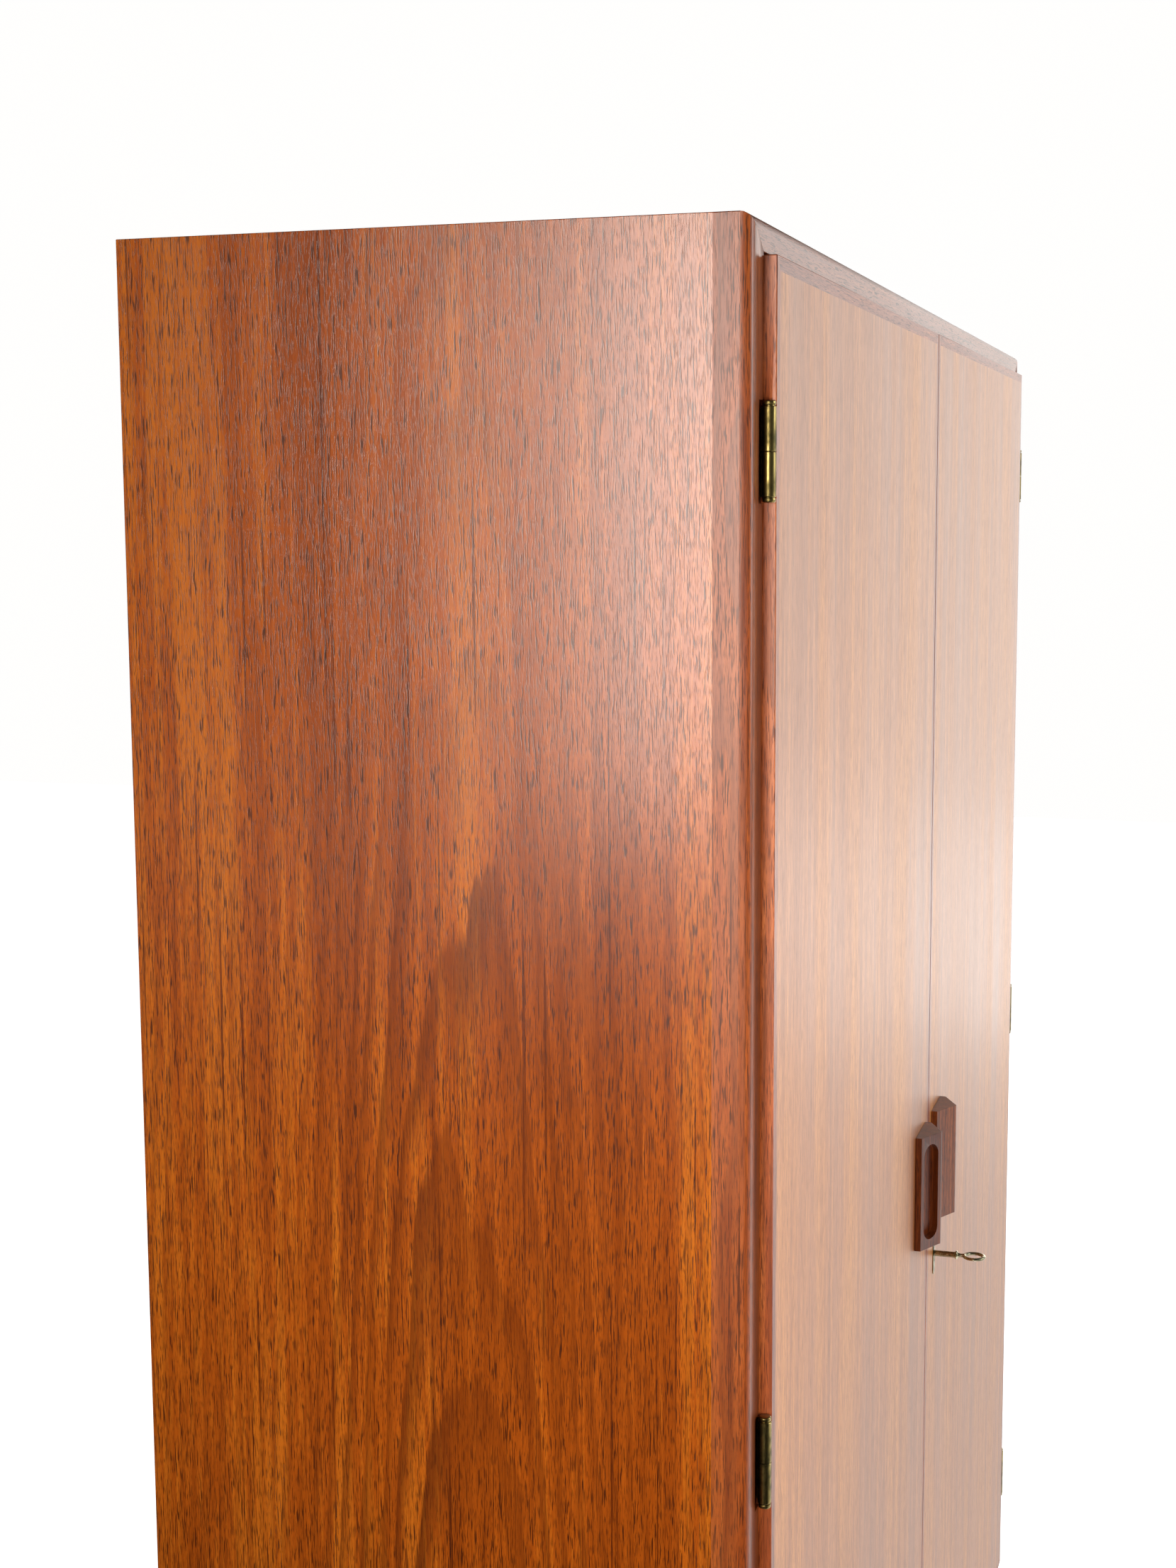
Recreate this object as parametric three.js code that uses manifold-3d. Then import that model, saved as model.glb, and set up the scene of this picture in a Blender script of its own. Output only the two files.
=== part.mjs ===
// A free-standing wardrobe with two inset doors, in oiled teak with brass fittings. Millimetres, +Z up.
// While it is built, x runs along the front from the left side's outer face, y runs back from the carcass's
// front plane and z runs up from the floor. The exported group moves that frame to the middle of the footprint.
import * as THREE from "three";
import { mergeVertices } from "three/addons/utils/BufferGeometryUtils.js";
import Module from "manifold-3d";

const wasm = await Module();
wasm.setup();

// ---- Driving dimensions ----

// Overall cabinet
const WIDTH = 1493;
const DEPTH = 450;
const BODY_HEIGHT = 1620;
const BASE_HEIGHT = 130;

// Carcass boards
const SIDE_THICKNESS = 32;
const TOP_THICKNESS = 22.5;
const BOTTOM_THICKNESS = 22.5;
const PARTITION_THICKNESS = 20;
const BACK_THICKNESS = 6;
const BACK_SETBACK = 6;
const REBATE_WIDTH = 8;
const BACK_CLEARANCE = 0.5;

// Solid lipping round the carcass front, with a quarter-round on its outer arris
const FRONT_LIPPING_DEPTH = 26;
const FRONT_ARRIS_RADIUS = 8.3;
const ARRIS_SEGMENTS = 5;
const MITRE_GAP = 0.3;

// Doors
const DOOR_THICKNESS = 22;
const DOOR_PROUD = 8.7;
const DOOR_GAP = 1.5;
const MEETING_GAP = 2;
const DOOR_LIPPING_WIDTH = 10;
const DOOR_STOP_CLEARANCE = 0.7;

// Lift-off hinges: centres are measured down from the cabinet's top
const HINGE_DROPS = { top: 150, middle: 838, bottom: 1472 };
const KNUCKLE_RADIUS = 4.6;
const KNUCKLE_CLEARANCE = 0.4;
const KNUCKLE_HALF_HEIGHT = 29.25;
const FINIAL_RADIUS = 4.3;
const FINIAL_HEIGHT = 3.6;
const FINIAL_GROOVE = 0.4;
const KNUCKLE_JOINT_GAP = 0.3;
const PIN_RADIUS = 2.6;
const PIN_CLEARANCE = 0.1;
const PIN_LENGTH = 24;
const PIN_END_CLEARANCE = 0.5;
const LEAF_THICKNESS = 1.2;
const LEAF_REACH = 16;
const LEAF_EDGE_OFFSET = 0.1;
const KNUCKLE_RECESS_WIDTH = 12;
const KNUCKLE_RECESS_DEPTH = 1.5;

// Handles: a shallow triangular section with a long finger slot in the slope away from the meeting line
const HANDLE_LENGTH = 112;
const HANDLE_DROP = 844;
const HANDLE_OFFSET = 50;
const HANDLE_WIDTH = 60;
const HANDLE_HEIGHT = 21;
const HANDLE_SIDE_HEIGHT = 6;
const HANDLE_RIDGE_WIDTH = 6;
const HANDLE_RIDGE_ROUNDING = 1.5;
const SLOT_LENGTH = 94;
const SLOT_WIDTH = 22;
const SLOT_DEPTH = 10;
const SLOT_TILT = THREE.MathUtils.degToRad(40);
const SLOT_FLOOR = 2.5;
const SLOT_SHIFT = 1;

// Lock in the right door, worked by a key below the handle
const KEY_DROP = 945;
const KEY_SHAFT_RADIUS = 3;
const KEY_SHAFT_REACH = 22;
const KEY_COLLAR_RADIUS = 4.4;
const KEY_COLLAR_LENGTH = 2.5;
const KEY_NECK_RADIUS = 2.4;
const KEY_NECK_LENGTH = 5;
const KEY_REACH = 53;
const KEY_BOW_WIDTH = 23;
const KEY_BOW_BAND = 4.5;
const KEY_BOW_THICKNESS = 3.2;
const KEY_BIT_LENGTH = 5.5;
const KEY_BIT_THICKNESS = 2.2;
const LOCK_LENGTH = 65;
const LOCK_HEIGHT = 60;
const LOCK_THICKNESS = 10;
const LOCK_WALL = 2.7;
const LOCK_CHAMBER_RADIUS = 9.5;
const BOLT_HEIGHT = 12;
const BOLT_RECESS = 0.5;
const BOLT_THROW = 8;
const KEYHOLE_CLEARANCE = 2;
const ESCUTCHEON_HEIGHT = 44;
const ESCUTCHEON_WIDTH = 13;
const ESCUTCHEON_THICKNESS = 0.8;
const STRIKE_HEIGHT = 46;
const STRIKE_WIDTH = 16;
const STRIKE_THICKNESS = 1.2;

// Slide bolts on the inner face of the left door
const SLIDE_OFFSET = 40;
const SLIDE_CASE_WIDTH = 16;
const SLIDE_CASE_DEPTH = 8;
const SLIDE_CASE_HEIGHT = 50;
const SLIDE_CASE_DROP = 10;
const SLIDE_ROD_WIDTH = 6;
const SLIDE_ROD_DEPTH = 4;
const SLIDE_ROD_LENGTH = 62;
const SLIDE_THROW = 10;
const SLIDE_KNOB_WIDTH = 3.6;
const SLIDE_KNOB_HEIGHT = 6;
const SLIDE_KNOB_REACH = 5;

// Inside: hat shelf and hanging rail on the left, two adjustable shelves on the right
const SHELF_THICKNESS = 18;
const SHELF_FRONT = 45;
const SHELF_END_CLEARANCE = 1;
const SHELF_BACK_CLEARANCE = 2;
const HAT_SHELF_DROP = 280;
const RAIL_RADIUS = 12.5;
const RAIL_DROP = 60;
const RAIL_Y = 235;
const SOCKET_RADIUS = 20;
const SOCKET_DEPTH = 12;
const SOCKET_FLOOR = 3;
const SOCKET_LIP = 3;
const SHELF_RISE = 525;
const WIRE_RADIUS = 1.75;
const WIRE_STANDOFF = 5;
const WIRE_HOLE_DEPTH = 8;
const WIRE_FRONT = 90;
const WIRE_BACK = 390;

// Base: two bearers from front to back, each on two turned legs
const BEARER_INSET = 150;
const BEARER_WIDTH = 60;
const BEARER_HEIGHT = 30;
const BEARER_FRONT = 40;
const BEARER_BACK = 410;
const LEG_INSET = 35;
const LEG_TOP_RADIUS = 19;
const LEG_FOOT_RADIUS = 12;
const TENON_RADIUS = 10;
const TENON_LENGTH = 18;

// Clearance between a piece and the recess cut for it; a round hole's facets need a little more
const FIT = 0.3;
const ROUND_FIT = 0.4;
// How far a cutting tool runs past the piece that it cuts
const OVERCUT = 1;
const ROUND_SIDES = 24;
const SMALL_SIDES = 12;
const END_ARC_SEGMENTS = 8;
const RIDGE_SEGMENTS = 4;

// ---- Values that follow from them ----

const topZ = BASE_HEIGHT + BODY_HEIGHT;
const floorZ = BASE_HEIGHT + BOTTOM_THICKNESS;
const ceilingZ = topZ - TOP_THICKNESS;
const innerLeft = SIDE_THICKNESS;
const innerRight = WIDTH - SIDE_THICKNESS;
const middle = WIDTH / 2;
const partitionLeft = middle - PARTITION_THICKNESS / 2;
const partitionRight = middle + PARTITION_THICKNESS / 2;
const backFace = DEPTH - BACK_SETBACK - BACK_THICKNESS;
const doorLeft = innerLeft + DOOR_GAP;
const doorRight = middle - MEETING_GAP / 2;
const doorBottom = floorZ + DOOR_GAP;
const doorTop = ceilingZ - DOOR_GAP;
const doorFront = -DOOR_PROUD;
const doorBack = doorFront + DOOR_THICKNESS;
const doorMidY = (doorFront + doorBack) / 2;
const hingeX = doorLeft - KNUCKLE_RADIUS - KNUCKLE_CLEARANCE;
const hingeY = -KNUCKLE_RADIUS - KNUCKLE_CLEARANCE;
const keyX = middle + HANDLE_OFFSET;
const keyZ = topZ - KEY_DROP;
const lockFront = doorMidY - LOCK_THICKNESS / 2;
const lockBack = doorMidY + LOCK_THICKNESS / 2;
const boltHalfThickness = LOCK_THICKNESS / 2 - LOCK_WALL;

// ---- Materials ----

const teak = new THREE.MeshStandardMaterial({ color: 0x96512a, roughness: 0.45, metalness: 0 });
const teakLipping = new THREE.MeshStandardMaterial({ color: 0x7a3a20, roughness: 0.42, metalness: 0 });
const teakHandle = new THREE.MeshStandardMaterial({ color: 0x8a4218, roughness: 0.38, metalness: 0 });
const plywood = new THREE.MeshStandardMaterial({ color: 0xb58a5c, roughness: 0.6, metalness: 0 });
const brass = new THREE.MeshStandardMaterial({ color: 0x7d7038, roughness: 0.32, metalness: 1 });
const steel = new THREE.MeshStandardMaterial({ color: 0x8d8f88, roughness: 0.35, metalness: 1 });
const nickel = new THREE.MeshStandardMaterial({ color: 0x9a9a84, roughness: 0.25, metalness: 1 });

// ---- Solids ----

// A closed geometry as a manifold solid, turned right side out if it was mirrored.
function solidFrom(geometry) {
  const bare = geometry.clone();
  bare.deleteAttribute("normal");
  bare.deleteAttribute("uv");
  const merged = mergeVertices(bare, 1e-4);
  const corners = merged.index.array;
  const outward = [];
  const reversed = [];
  for (let i = 0; i < corners.length; i += 3) {
    const [a, b, c] = corners.slice(i, i + 3);
    if (a === b || b === c || c === a) continue;
    outward.push(a, b, c);
    reversed.push(a, c, b);
  }
  const make = (triangles) =>
    new wasm.Manifold(
      new wasm.Mesh({
        numProp: 3,
        vertProperties: new Float32Array(merged.attributes.position.array),
        triVerts: new Uint32Array(triangles),
      }),
    );
  const solid = make(outward);
  return solid.volume() < 0 ? make(reversed) : solid;
}

function geometryFrom(solid) {
  const mesh = solid.getMesh();
  const geometry = new THREE.BufferGeometry();
  geometry.setAttribute("position", new THREE.BufferAttribute(mesh.vertProperties, 3));
  geometry.setIndex(new THREE.BufferAttribute(mesh.triVerts, 1));
  const faceted = geometry.toNonIndexed();
  faceted.computeVertexNormals();
  return faceted;
}

const cut = (solid, ...tools) => tools.reduce((rest, tool) => rest.subtract(tool), solid);
const join = (...solids) => solids.reduce((whole, piece) => whole.add(piece));
const mirrored = (solid) => solidFrom(geometryFrom(solid).scale(-1, 1, 1).translate(WIDTH, 0, 0));

function box([x0, x1], [y0, y1], [z0, z1]) {
  const geometry = new THREE.BoxGeometry(x1 - x0, y1 - y0, z1 - z0);
  return solidFrom(geometry.translate((x0 + x1) / 2, (y0 + y1) / 2, (z0 + z1) / 2));
}

const around = (centre, half) => [centre - half, centre + half];

function outline(points) {
  return new THREE.Shape(points.map(([a, b]) => new THREE.Vector2(a, b)));
}

// Extrudes an outline drawn in x and z backwards from y0 to y1.
function frontPrism(shape, [y0, y1]) {
  const geometry = new THREE.ExtrudeGeometry(shape, { depth: y1 - y0, bevelEnabled: false });
  return solidFrom(geometry.rotateX(Math.PI / 2).translate(0, y1, 0));
}

// Extrudes an outline drawn in y and z to the right from x0 to x1.
function sidePrism(shape, [x0, x1]) {
  const geometry = new THREE.ExtrudeGeometry(shape, { depth: x1 - x0, bevelEnabled: false });
  const turn = new THREE.Matrix4().makeBasis(
    new THREE.Vector3(0, 1, 0),
    new THREE.Vector3(0, 0, 1),
    new THREE.Vector3(1, 0, 0),
  );
  return solidFrom(geometry.applyMatrix4(turn).translate(x0, 0, 0));
}

// Turns a profile of [radius, height] pairs about the z axis, or about another axis by turning the result.
function turned(profile, sides = ROUND_SIDES) {
  const points = profile.map(([radius, height]) => new THREE.Vector2(radius, height));
  return new THREE.LatheGeometry(points, sides).rotateX(Math.PI / 2);
}

const rod = (radius, length, sides = ROUND_SIDES) =>
  turned([[0, 0], [radius, 0], [radius, length], [0, length]], sides);

const alongX = (geometry) => geometry.rotateY(Math.PI / 2);
const alongY = (geometry) => geometry.rotateX(-Math.PI / 2);

function stadium(width, height) {
  const shape = new THREE.Shape();
  const straight = (height - width) / 2;
  shape.moveTo(width / 2, -straight);
  shape.lineTo(width / 2, straight);
  shape.absarc(0, straight, width / 2, 0, Math.PI, false);
  shape.lineTo(-width / 2, -straight);
  shape.absarc(0, -straight, width / 2, Math.PI, 2 * Math.PI, false);
  return shape;
}

// ---- The model ----

const wardrobe = new THREE.Group();
const cabinet = new THREE.Group();
const frontmost = doorFront - KEY_REACH;
cabinet.position.set(-WIDTH / 2, -(frontmost + DEPTH) / 2, 0);
wardrobe.add(cabinet);

function addPiece(name, solid, material) {
  const mesh = new THREE.Mesh(geometryFrom(solid), material);
  mesh.name = name;
  cabinet.add(mesh);
}

// ---- Holes that the carcass holds for other pieces ----

const hingeCentres = Object.entries(HINGE_DROPS).map(([place, drop]) => [place, topZ - drop]);
const hingeHalfHeight = KNUCKLE_HALF_HEIGHT + FINIAL_HEIGHT;
const shelfHeights = { lower: floorZ + SHELF_RISE, upper: floorZ + 2 * SHELF_RISE };
const wireRun = [WIRE_FRONT, WIRE_BACK];

// A blind hole for one end of a support wire, bored into a wall at wallX in the direction of sign.
function wireHole(wallX, sign, y, z) {
  const bore = alongX(rod(WIRE_RADIUS + FIT, WIRE_HOLE_DEPTH + FIT + OVERCUT, SMALL_SIDES));
  return solidFrom(bore.translate(sign > 0 ? wallX - OVERCUT : wallX - WIRE_HOLE_DEPTH - FIT, y, z));
}

const wireHoles = (wallX, sign) =>
  Object.values(shelfHeights).flatMap((z) => wireRun.map((y) => wireHole(wallX, sign, y, z)));

function slideHole([z0, z1]) {
  return box(around(middle - SLIDE_OFFSET, SLIDE_ROD_WIDTH / 2 + 2 * FIT), slideRodY(2 * FIT), [z0, z1]);
}

function slideRodY(clearance) {
  return around(doorBack + SLIDE_CASE_DEPTH / 2, SLIDE_ROD_DEPTH / 2 + clearance);
}

// ---- Carcass boards ----

// The rebate for the back panel is stopped short of the ends, level with the rebates of the top and bottom.
function sideBoard() {
  return cut(
    box([0, innerLeft], [FRONT_LIPPING_DEPTH, DEPTH], [BASE_HEIGHT, topZ]),
    box([innerLeft - REBATE_WIDTH, innerLeft + OVERCUT], [backFace, DEPTH + OVERCUT], [
      floorZ - REBATE_WIDTH,
      ceilingZ + REBATE_WIDTH,
    ]),
  );
}

// A top or bottom board: its inner face is at innerZ, its outer face at outerZ.
function levelBoard(innerZ, outerZ) {
  const rebateZ = innerZ + Math.sign(outerZ - innerZ) * REBATE_WIDTH;
  return sidePrism(
    outline([
      [FRONT_LIPPING_DEPTH, innerZ],
      [backFace, innerZ],
      [backFace, rebateZ],
      [DEPTH, rebateZ],
      [DEPTH, outerZ],
      [FRONT_LIPPING_DEPTH, outerZ],
    ]),
    [innerLeft, innerRight],
  );
}

const backReach = REBATE_WIDTH - BACK_CLEARANCE;
const inside = [innerLeft, innerRight];
addPiece("left_side_board", sideBoard(), teak);
addPiece("right_side_board", cut(mirrored(sideBoard()), ...wireHoles(innerRight, 1)), teak);
addPiece("top_board", levelBoard(ceilingZ, topZ), teak);
addPiece("bottom_board", levelBoard(floorZ, BASE_HEIGHT), teak);
addPiece(
  "back_panel",
  box(
    [innerLeft - backReach, innerRight + backReach],
    [backFace, backFace + BACK_THICKNESS],
    [floorZ - backReach, ceilingZ + backReach],
  ),
  plywood,
);
addPiece(
  "centre_partition",
  cut(
    box([partitionLeft, partitionRight], [doorBack + DOOR_STOP_CLEARANCE, backFace], [floorZ, ceilingZ]),
    ...wireHoles(partitionRight, -1),
  ),
  teak,
);

// ---- Front lippings: one rounded frame, sawn apart at its mitres ----

// A slab as large as the cabinet's front whose front arrises are all rounded.
function roundedFront() {
  const r = FRONT_ARRIS_RADIUS;
  const shape = outline([
    [r, BASE_HEIGHT + r],
    [WIDTH - r, BASE_HEIGHT + r],
    [WIDTH - r, topZ - r],
    [r, topZ - r],
  ]);
  const geometry = new THREE.ExtrudeGeometry(shape, {
    depth: FRONT_LIPPING_DEPTH,
    bevelThickness: r,
    bevelSize: r,
    bevelSegments: ARRIS_SEGMENTS,
  });
  return solidFrom(geometry.rotateX(Math.PI / 2).translate(0, FRONT_LIPPING_DEPTH + r, 0));
}

const lippingY = [0, FRONT_LIPPING_DEPTH];
const sawY = [-OVERCUT, FRONT_LIPPING_DEPTH + OVERCUT];
const frontFrame = cut(
  roundedFront().intersect(box([0, WIDTH], lippingY, [BASE_HEIGHT, topZ])),
  box(inside, sawY, [floorZ, ceilingZ]),
);

function sideLipping() {
  const mitre = frontPrism(
    outline([[0, BASE_HEIGHT], [innerLeft, floorZ], [innerLeft, ceilingZ], [0, topZ]]),
    sawY,
  );
  const leafX = doorLeft - DOOR_GAP + LEAF_EDGE_OFFSET - LEAF_THICKNESS;
  const seats = hingeCentres.flatMap(([, z]) => [
    box(
      [leafX - FIT, innerLeft + OVERCUT],
      [-OVERCUT, hingeY + LEAF_REACH + FIT],
      [z - KNUCKLE_HALF_HEIGHT - FIT, z],
    ),
    box(
      [innerLeft - KNUCKLE_RECESS_WIDTH, innerLeft + OVERCUT],
      [-OVERCUT, KNUCKLE_RECESS_DEPTH],
      around(z, hingeHalfHeight + ROUND_FIT),
    ),
  ]);
  return cut(frontFrame.intersect(mitre), ...seats);
}

function levelLipping(innerZ, outerZ) {
  const mitre = frontPrism(
    outline([
      [MITRE_GAP, outerZ],
      [innerLeft + MITRE_GAP, innerZ],
      [innerRight - MITRE_GAP, innerZ],
      [WIDTH - MITRE_GAP, outerZ],
    ]),
    sawY,
  );
  return frontFrame.intersect(mitre);
}

addPiece("left_front_lipping", sideLipping(), teakLipping);
addPiece("right_front_lipping", mirrored(sideLipping()), teakLipping);
addPiece(
  "top_front_lipping",
  cut(levelLipping(ceilingZ, topZ), slideHole([ceilingZ - OVERCUT, ceilingZ + SLIDE_THROW])),
  teakLipping,
);
addPiece(
  "bottom_front_lipping",
  cut(levelLipping(floorZ, BASE_HEIGHT), slideHole([floorZ - SLIDE_THROW, floorZ + OVERCUT])),
  teakLipping,
);

// ---- Inside the left compartment ----

const hatShelfTop = ceilingZ - HAT_SHELF_DROP;
const railZ = hatShelfTop - SHELF_THICKNESS - RAIL_DROP;
addPiece(
  "hat_shelf",
  box([innerLeft, partitionLeft], [SHELF_FRONT, backFace], [hatShelfTop - SHELF_THICKNESS, hatShelfTop]),
  teak,
);

const railStart = innerLeft + SOCKET_FLOOR + FIT;
const railEnd = partitionLeft - SOCKET_FLOOR - FIT;
addPiece(
  "hanging_rail",
  solidFrom(alongX(rod(RAIL_RADIUS, railEnd - railStart)).translate(railStart, RAIL_Y, railZ)),
  steel,
);

function railSocket() {
  const bore = RAIL_RADIUS + ROUND_FIT;
  return turned([
    [0, 0],
    [SOCKET_RADIUS, 0],
    [SOCKET_RADIUS, SOCKET_FLOOR],
    [bore + SOCKET_LIP, SOCKET_DEPTH],
    [bore, SOCKET_DEPTH],
    [bore, SOCKET_FLOOR],
    [0, SOCKET_FLOOR],
  ]);
}

addPiece("left_rail_socket", solidFrom(alongX(railSocket()).translate(innerLeft, RAIL_Y, railZ)), brass);
addPiece(
  "right_rail_socket",
  solidFrom(alongX(railSocket()).rotateZ(Math.PI).translate(partitionLeft, RAIL_Y, railZ)),
  brass,
);

// ---- Inside the right compartment: shelves that slide onto bent wires ----

function shelf(z) {
  const grooveDepth = WIRE_STANDOFF + WIRE_RADIUS + FIT;
  const grooveZ = around(z, WIRE_RADIUS + FIT);
  const grooveY = [WIRE_FRONT - WIRE_RADIUS - 2 * FIT, backFace];
  return cut(
    box(
      [partitionRight + SHELF_END_CLEARANCE, innerRight - SHELF_END_CLEARANCE],
      [SHELF_FRONT, backFace - SHELF_BACK_CLEARANCE],
      around(z, SHELF_THICKNESS / 2),
    ),
    box([partitionRight, partitionRight + grooveDepth], grooveY, grooveZ),
    box([innerRight - grooveDepth, innerRight], grooveY, grooveZ),
  );
}

// One support wire: a straight run along the wall whose two ends turn into the wall.
function supportWire(wallX, sign, z) {
  const runX = wallX - sign * WIRE_STANDOFF;
  const run = alongY(rod(WIRE_RADIUS, WIRE_BACK - WIRE_FRONT, SMALL_SIDES)).translate(runX, WIRE_FRONT, z);
  const endLength = WIRE_STANDOFF + WIRE_HOLE_DEPTH;
  const ends = wireRun.flatMap((y) => {
    const end = alongX(rod(WIRE_RADIUS, endLength, SMALL_SIDES));
    const elbow = new THREE.SphereGeometry(WIRE_RADIUS, SMALL_SIDES, SMALL_SIDES / 2);
    return [
      end.translate(sign > 0 ? runX : runX - endLength, y, z),
      elbow.rotateX(Math.PI / 2).translate(runX, y, z),
    ];
  });
  return join(...[run, ...ends].map(solidFrom));
}

for (const [place, z] of Object.entries(shelfHeights)) {
  addPiece(`${place}_shelf`, shelf(z), teak);
  addPiece(`${place}_shelf_wire_left`, supportWire(partitionRight, -1, z), steel);
  addPiece(`${place}_shelf_wire_right`, supportWire(innerRight, 1, z), steel);
}

// ---- Base ----

const legHeight = BASE_HEIGHT - BEARER_HEIGHT;

function leg() {
  return turned([
    [0, 0],
    [LEG_FOOT_RADIUS, 0],
    [LEG_TOP_RADIUS, legHeight],
    [TENON_RADIUS, legHeight],
    [TENON_RADIUS, legHeight + TENON_LENGTH],
    [0, legHeight + TENON_LENGTH],
  ]);
}

const bearers = { left: BEARER_INSET, right: WIDTH - BEARER_INSET - BEARER_WIDTH };
const legRows = { front: BEARER_FRONT + LEG_INSET, rear: BEARER_BACK - LEG_INSET };
for (const [side, x] of Object.entries(bearers)) {
  const legX = x + BEARER_WIDTH / 2;
  const mortises = Object.values(legRows).map((y) => {
    const bore = rod(TENON_RADIUS + ROUND_FIT, TENON_LENGTH + FIT + OVERCUT);
    return solidFrom(bore.translate(legX, y, legHeight - OVERCUT));
  });
  addPiece(
    `${side}_bearer`,
    cut(box([x, x + BEARER_WIDTH], [BEARER_FRONT, BEARER_BACK], [legHeight, BASE_HEIGHT]), ...mortises),
    teakLipping,
  );
  for (const [row, y] of Object.entries(legRows)) {
    addPiece(`${row}_${side}_leg`, solidFrom(leg().translate(legX, y, 0)), teakLipping);
  }
}

// ---- Hinges ----

const hingeSeatX = [doorLeft - OVERCUT, doorLeft + LEAF_EDGE_OFFSET + FIT];
const leafY = [hingeY, hingeY + LEAF_REACH];

// Lower leaf: let into the carcass, with a solid knuckle that carries the pin.
function carcassLeaf(z) {
  const rim = KNUCKLE_HALF_HEIGHT + FINIAL_GROOVE;
  const end = KNUCKLE_HALF_HEIGHT + FINIAL_HEIGHT;
  const jointZ = -KNUCKLE_JOINT_GAP / 2;
  const knuckle = turned([
    [0, -end],
    [FINIAL_RADIUS - FINIAL_GROOVE, -end],
    [FINIAL_RADIUS, -end + FINIAL_GROOVE],
    [FINIAL_RADIUS, -rim - FINIAL_GROOVE],
    [FINIAL_RADIUS - FINIAL_GROOVE, -rim],
    [KNUCKLE_RADIUS, -KNUCKLE_HALF_HEIGHT],
    [KNUCKLE_RADIUS, jointZ],
    [PIN_RADIUS, jointZ],
    [PIN_RADIUS, PIN_LENGTH],
    [0, PIN_LENGTH],
  ]).translate(hingeX, hingeY, z);
  const leafRight = innerLeft + LEAF_EDGE_OFFSET;
  const leaf = box([leafRight - LEAF_THICKNESS, leafRight], leafY, [z - KNUCKLE_HALF_HEIGHT, z + jointZ]);
  return join(solidFrom(knuckle), leaf);
}

// Upper leaf: let into the door's edge, with a blind knuckle that drops over the pin.
function doorLeaf(z) {
  const rim = KNUCKLE_HALF_HEIGHT + FINIAL_GROOVE;
  const end = KNUCKLE_HALF_HEIGHT + FINIAL_HEIGHT;
  const boreEnd = PIN_LENGTH + PIN_END_CLEARANCE;
  const jointZ = KNUCKLE_JOINT_GAP / 2;
  const knuckle = turned([
    [0, boreEnd],
    [PIN_RADIUS + PIN_CLEARANCE, boreEnd],
    [PIN_RADIUS + PIN_CLEARANCE, jointZ],
    [KNUCKLE_RADIUS, jointZ],
    [KNUCKLE_RADIUS, KNUCKLE_HALF_HEIGHT],
    [FINIAL_RADIUS - FINIAL_GROOVE, rim],
    [FINIAL_RADIUS, rim + FINIAL_GROOVE],
    [FINIAL_RADIUS, end - FINIAL_GROOVE],
    [FINIAL_RADIUS - FINIAL_GROOVE, end],
    [0, end],
  ]).translate(hingeX, hingeY, z);
  const leafRight = doorLeft + LEAF_EDGE_OFFSET;
  const leaf = box([leafRight - LEAF_THICKNESS, leafRight], leafY, [z + jointZ, z + KNUCKLE_HALF_HEIGHT]);
  return join(solidFrom(knuckle), leaf);
}

for (const [place, z] of hingeCentres) {
  addPiece(`left_${place}_hinge_carcass_leaf`, carcassLeaf(z), brass);
  addPiece(`right_${place}_hinge_carcass_leaf`, mirrored(carcassLeaf(z)), brass);
  addPiece(`left_${place}_hinge_door_leaf`, doorLeaf(z), brass);
  addPiece(`right_${place}_hinge_door_leaf`, mirrored(doorLeaf(z)), brass);
}

// ---- Doors ----

const doorY = [doorFront, doorBack];
const panelX = [doorLeft + DOOR_LIPPING_WIDTH, doorRight - DOOR_LIPPING_WIDTH];
const panelZ = [doorBottom + DOOR_LIPPING_WIDTH, doorTop - DOOR_LIPPING_WIDTH];

const doorPanel = () => box(panelX, doorY, panelZ);

// One of the four mitred strips: its outer edge runs between the first two corners.
function doorStrip(outerStart, outerEnd, innerEnd, innerStart) {
  return frontPrism(outline([outerStart, outerEnd, innerEnd, innerStart]), doorY);
}

const outer = {
  lowLeft: [doorLeft, doorBottom],
  lowRight: [doorRight, doorBottom],
  highLeft: [doorLeft, doorTop],
  highRight: [doorRight, doorTop],
};
const inner = {
  lowLeft: [panelX[0], panelZ[0]],
  lowRight: [panelX[1], panelZ[0]],
  highLeft: [panelX[0], panelZ[1]],
  highRight: [panelX[1], panelZ[1]],
};

function hingeStrip() {
  const seats = hingeCentres.map(([, z]) =>
    box(hingeSeatX, [hingeY - FIT, hingeY + LEAF_REACH + FIT], [z - FIT, z + KNUCKLE_HALF_HEIGHT + FIT]),
  );
  return cut(doorStrip(outer.lowLeft, outer.highLeft, inner.highLeft, inner.lowLeft), ...seats);
}

const meetingStrip = () => doorStrip(outer.lowRight, outer.highRight, inner.highRight, inner.lowRight);
const topStrip = () => doorStrip(outer.highLeft, outer.highRight, inner.highRight, inner.highLeft);
const bottomStrip = () => doorStrip(outer.lowLeft, outer.lowRight, inner.lowRight, inner.lowLeft);

// The lock's pocket in the right door, open at the door's meeting edge, and the hole for the key.
const lockX = [middle + MEETING_GAP / 2, middle + MEETING_GAP / 2 + LOCK_LENGTH];
const keyhole = rod(KEY_SHAFT_RADIUS + KEYHOLE_CLEARANCE, lockFront - doorFront + OVERCUT);

// The way in for the key's bit, which hangs below the shaft as the key goes in.
const bitPassage = (y0, y1) =>
  box(around(keyX, KEY_BIT_THICKNESS / 2 + FIT), [y0, y1], [
    keyZ - KEY_SHAFT_RADIUS - KEY_BIT_LENGTH - FIT,
    keyZ,
  ]);

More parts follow.
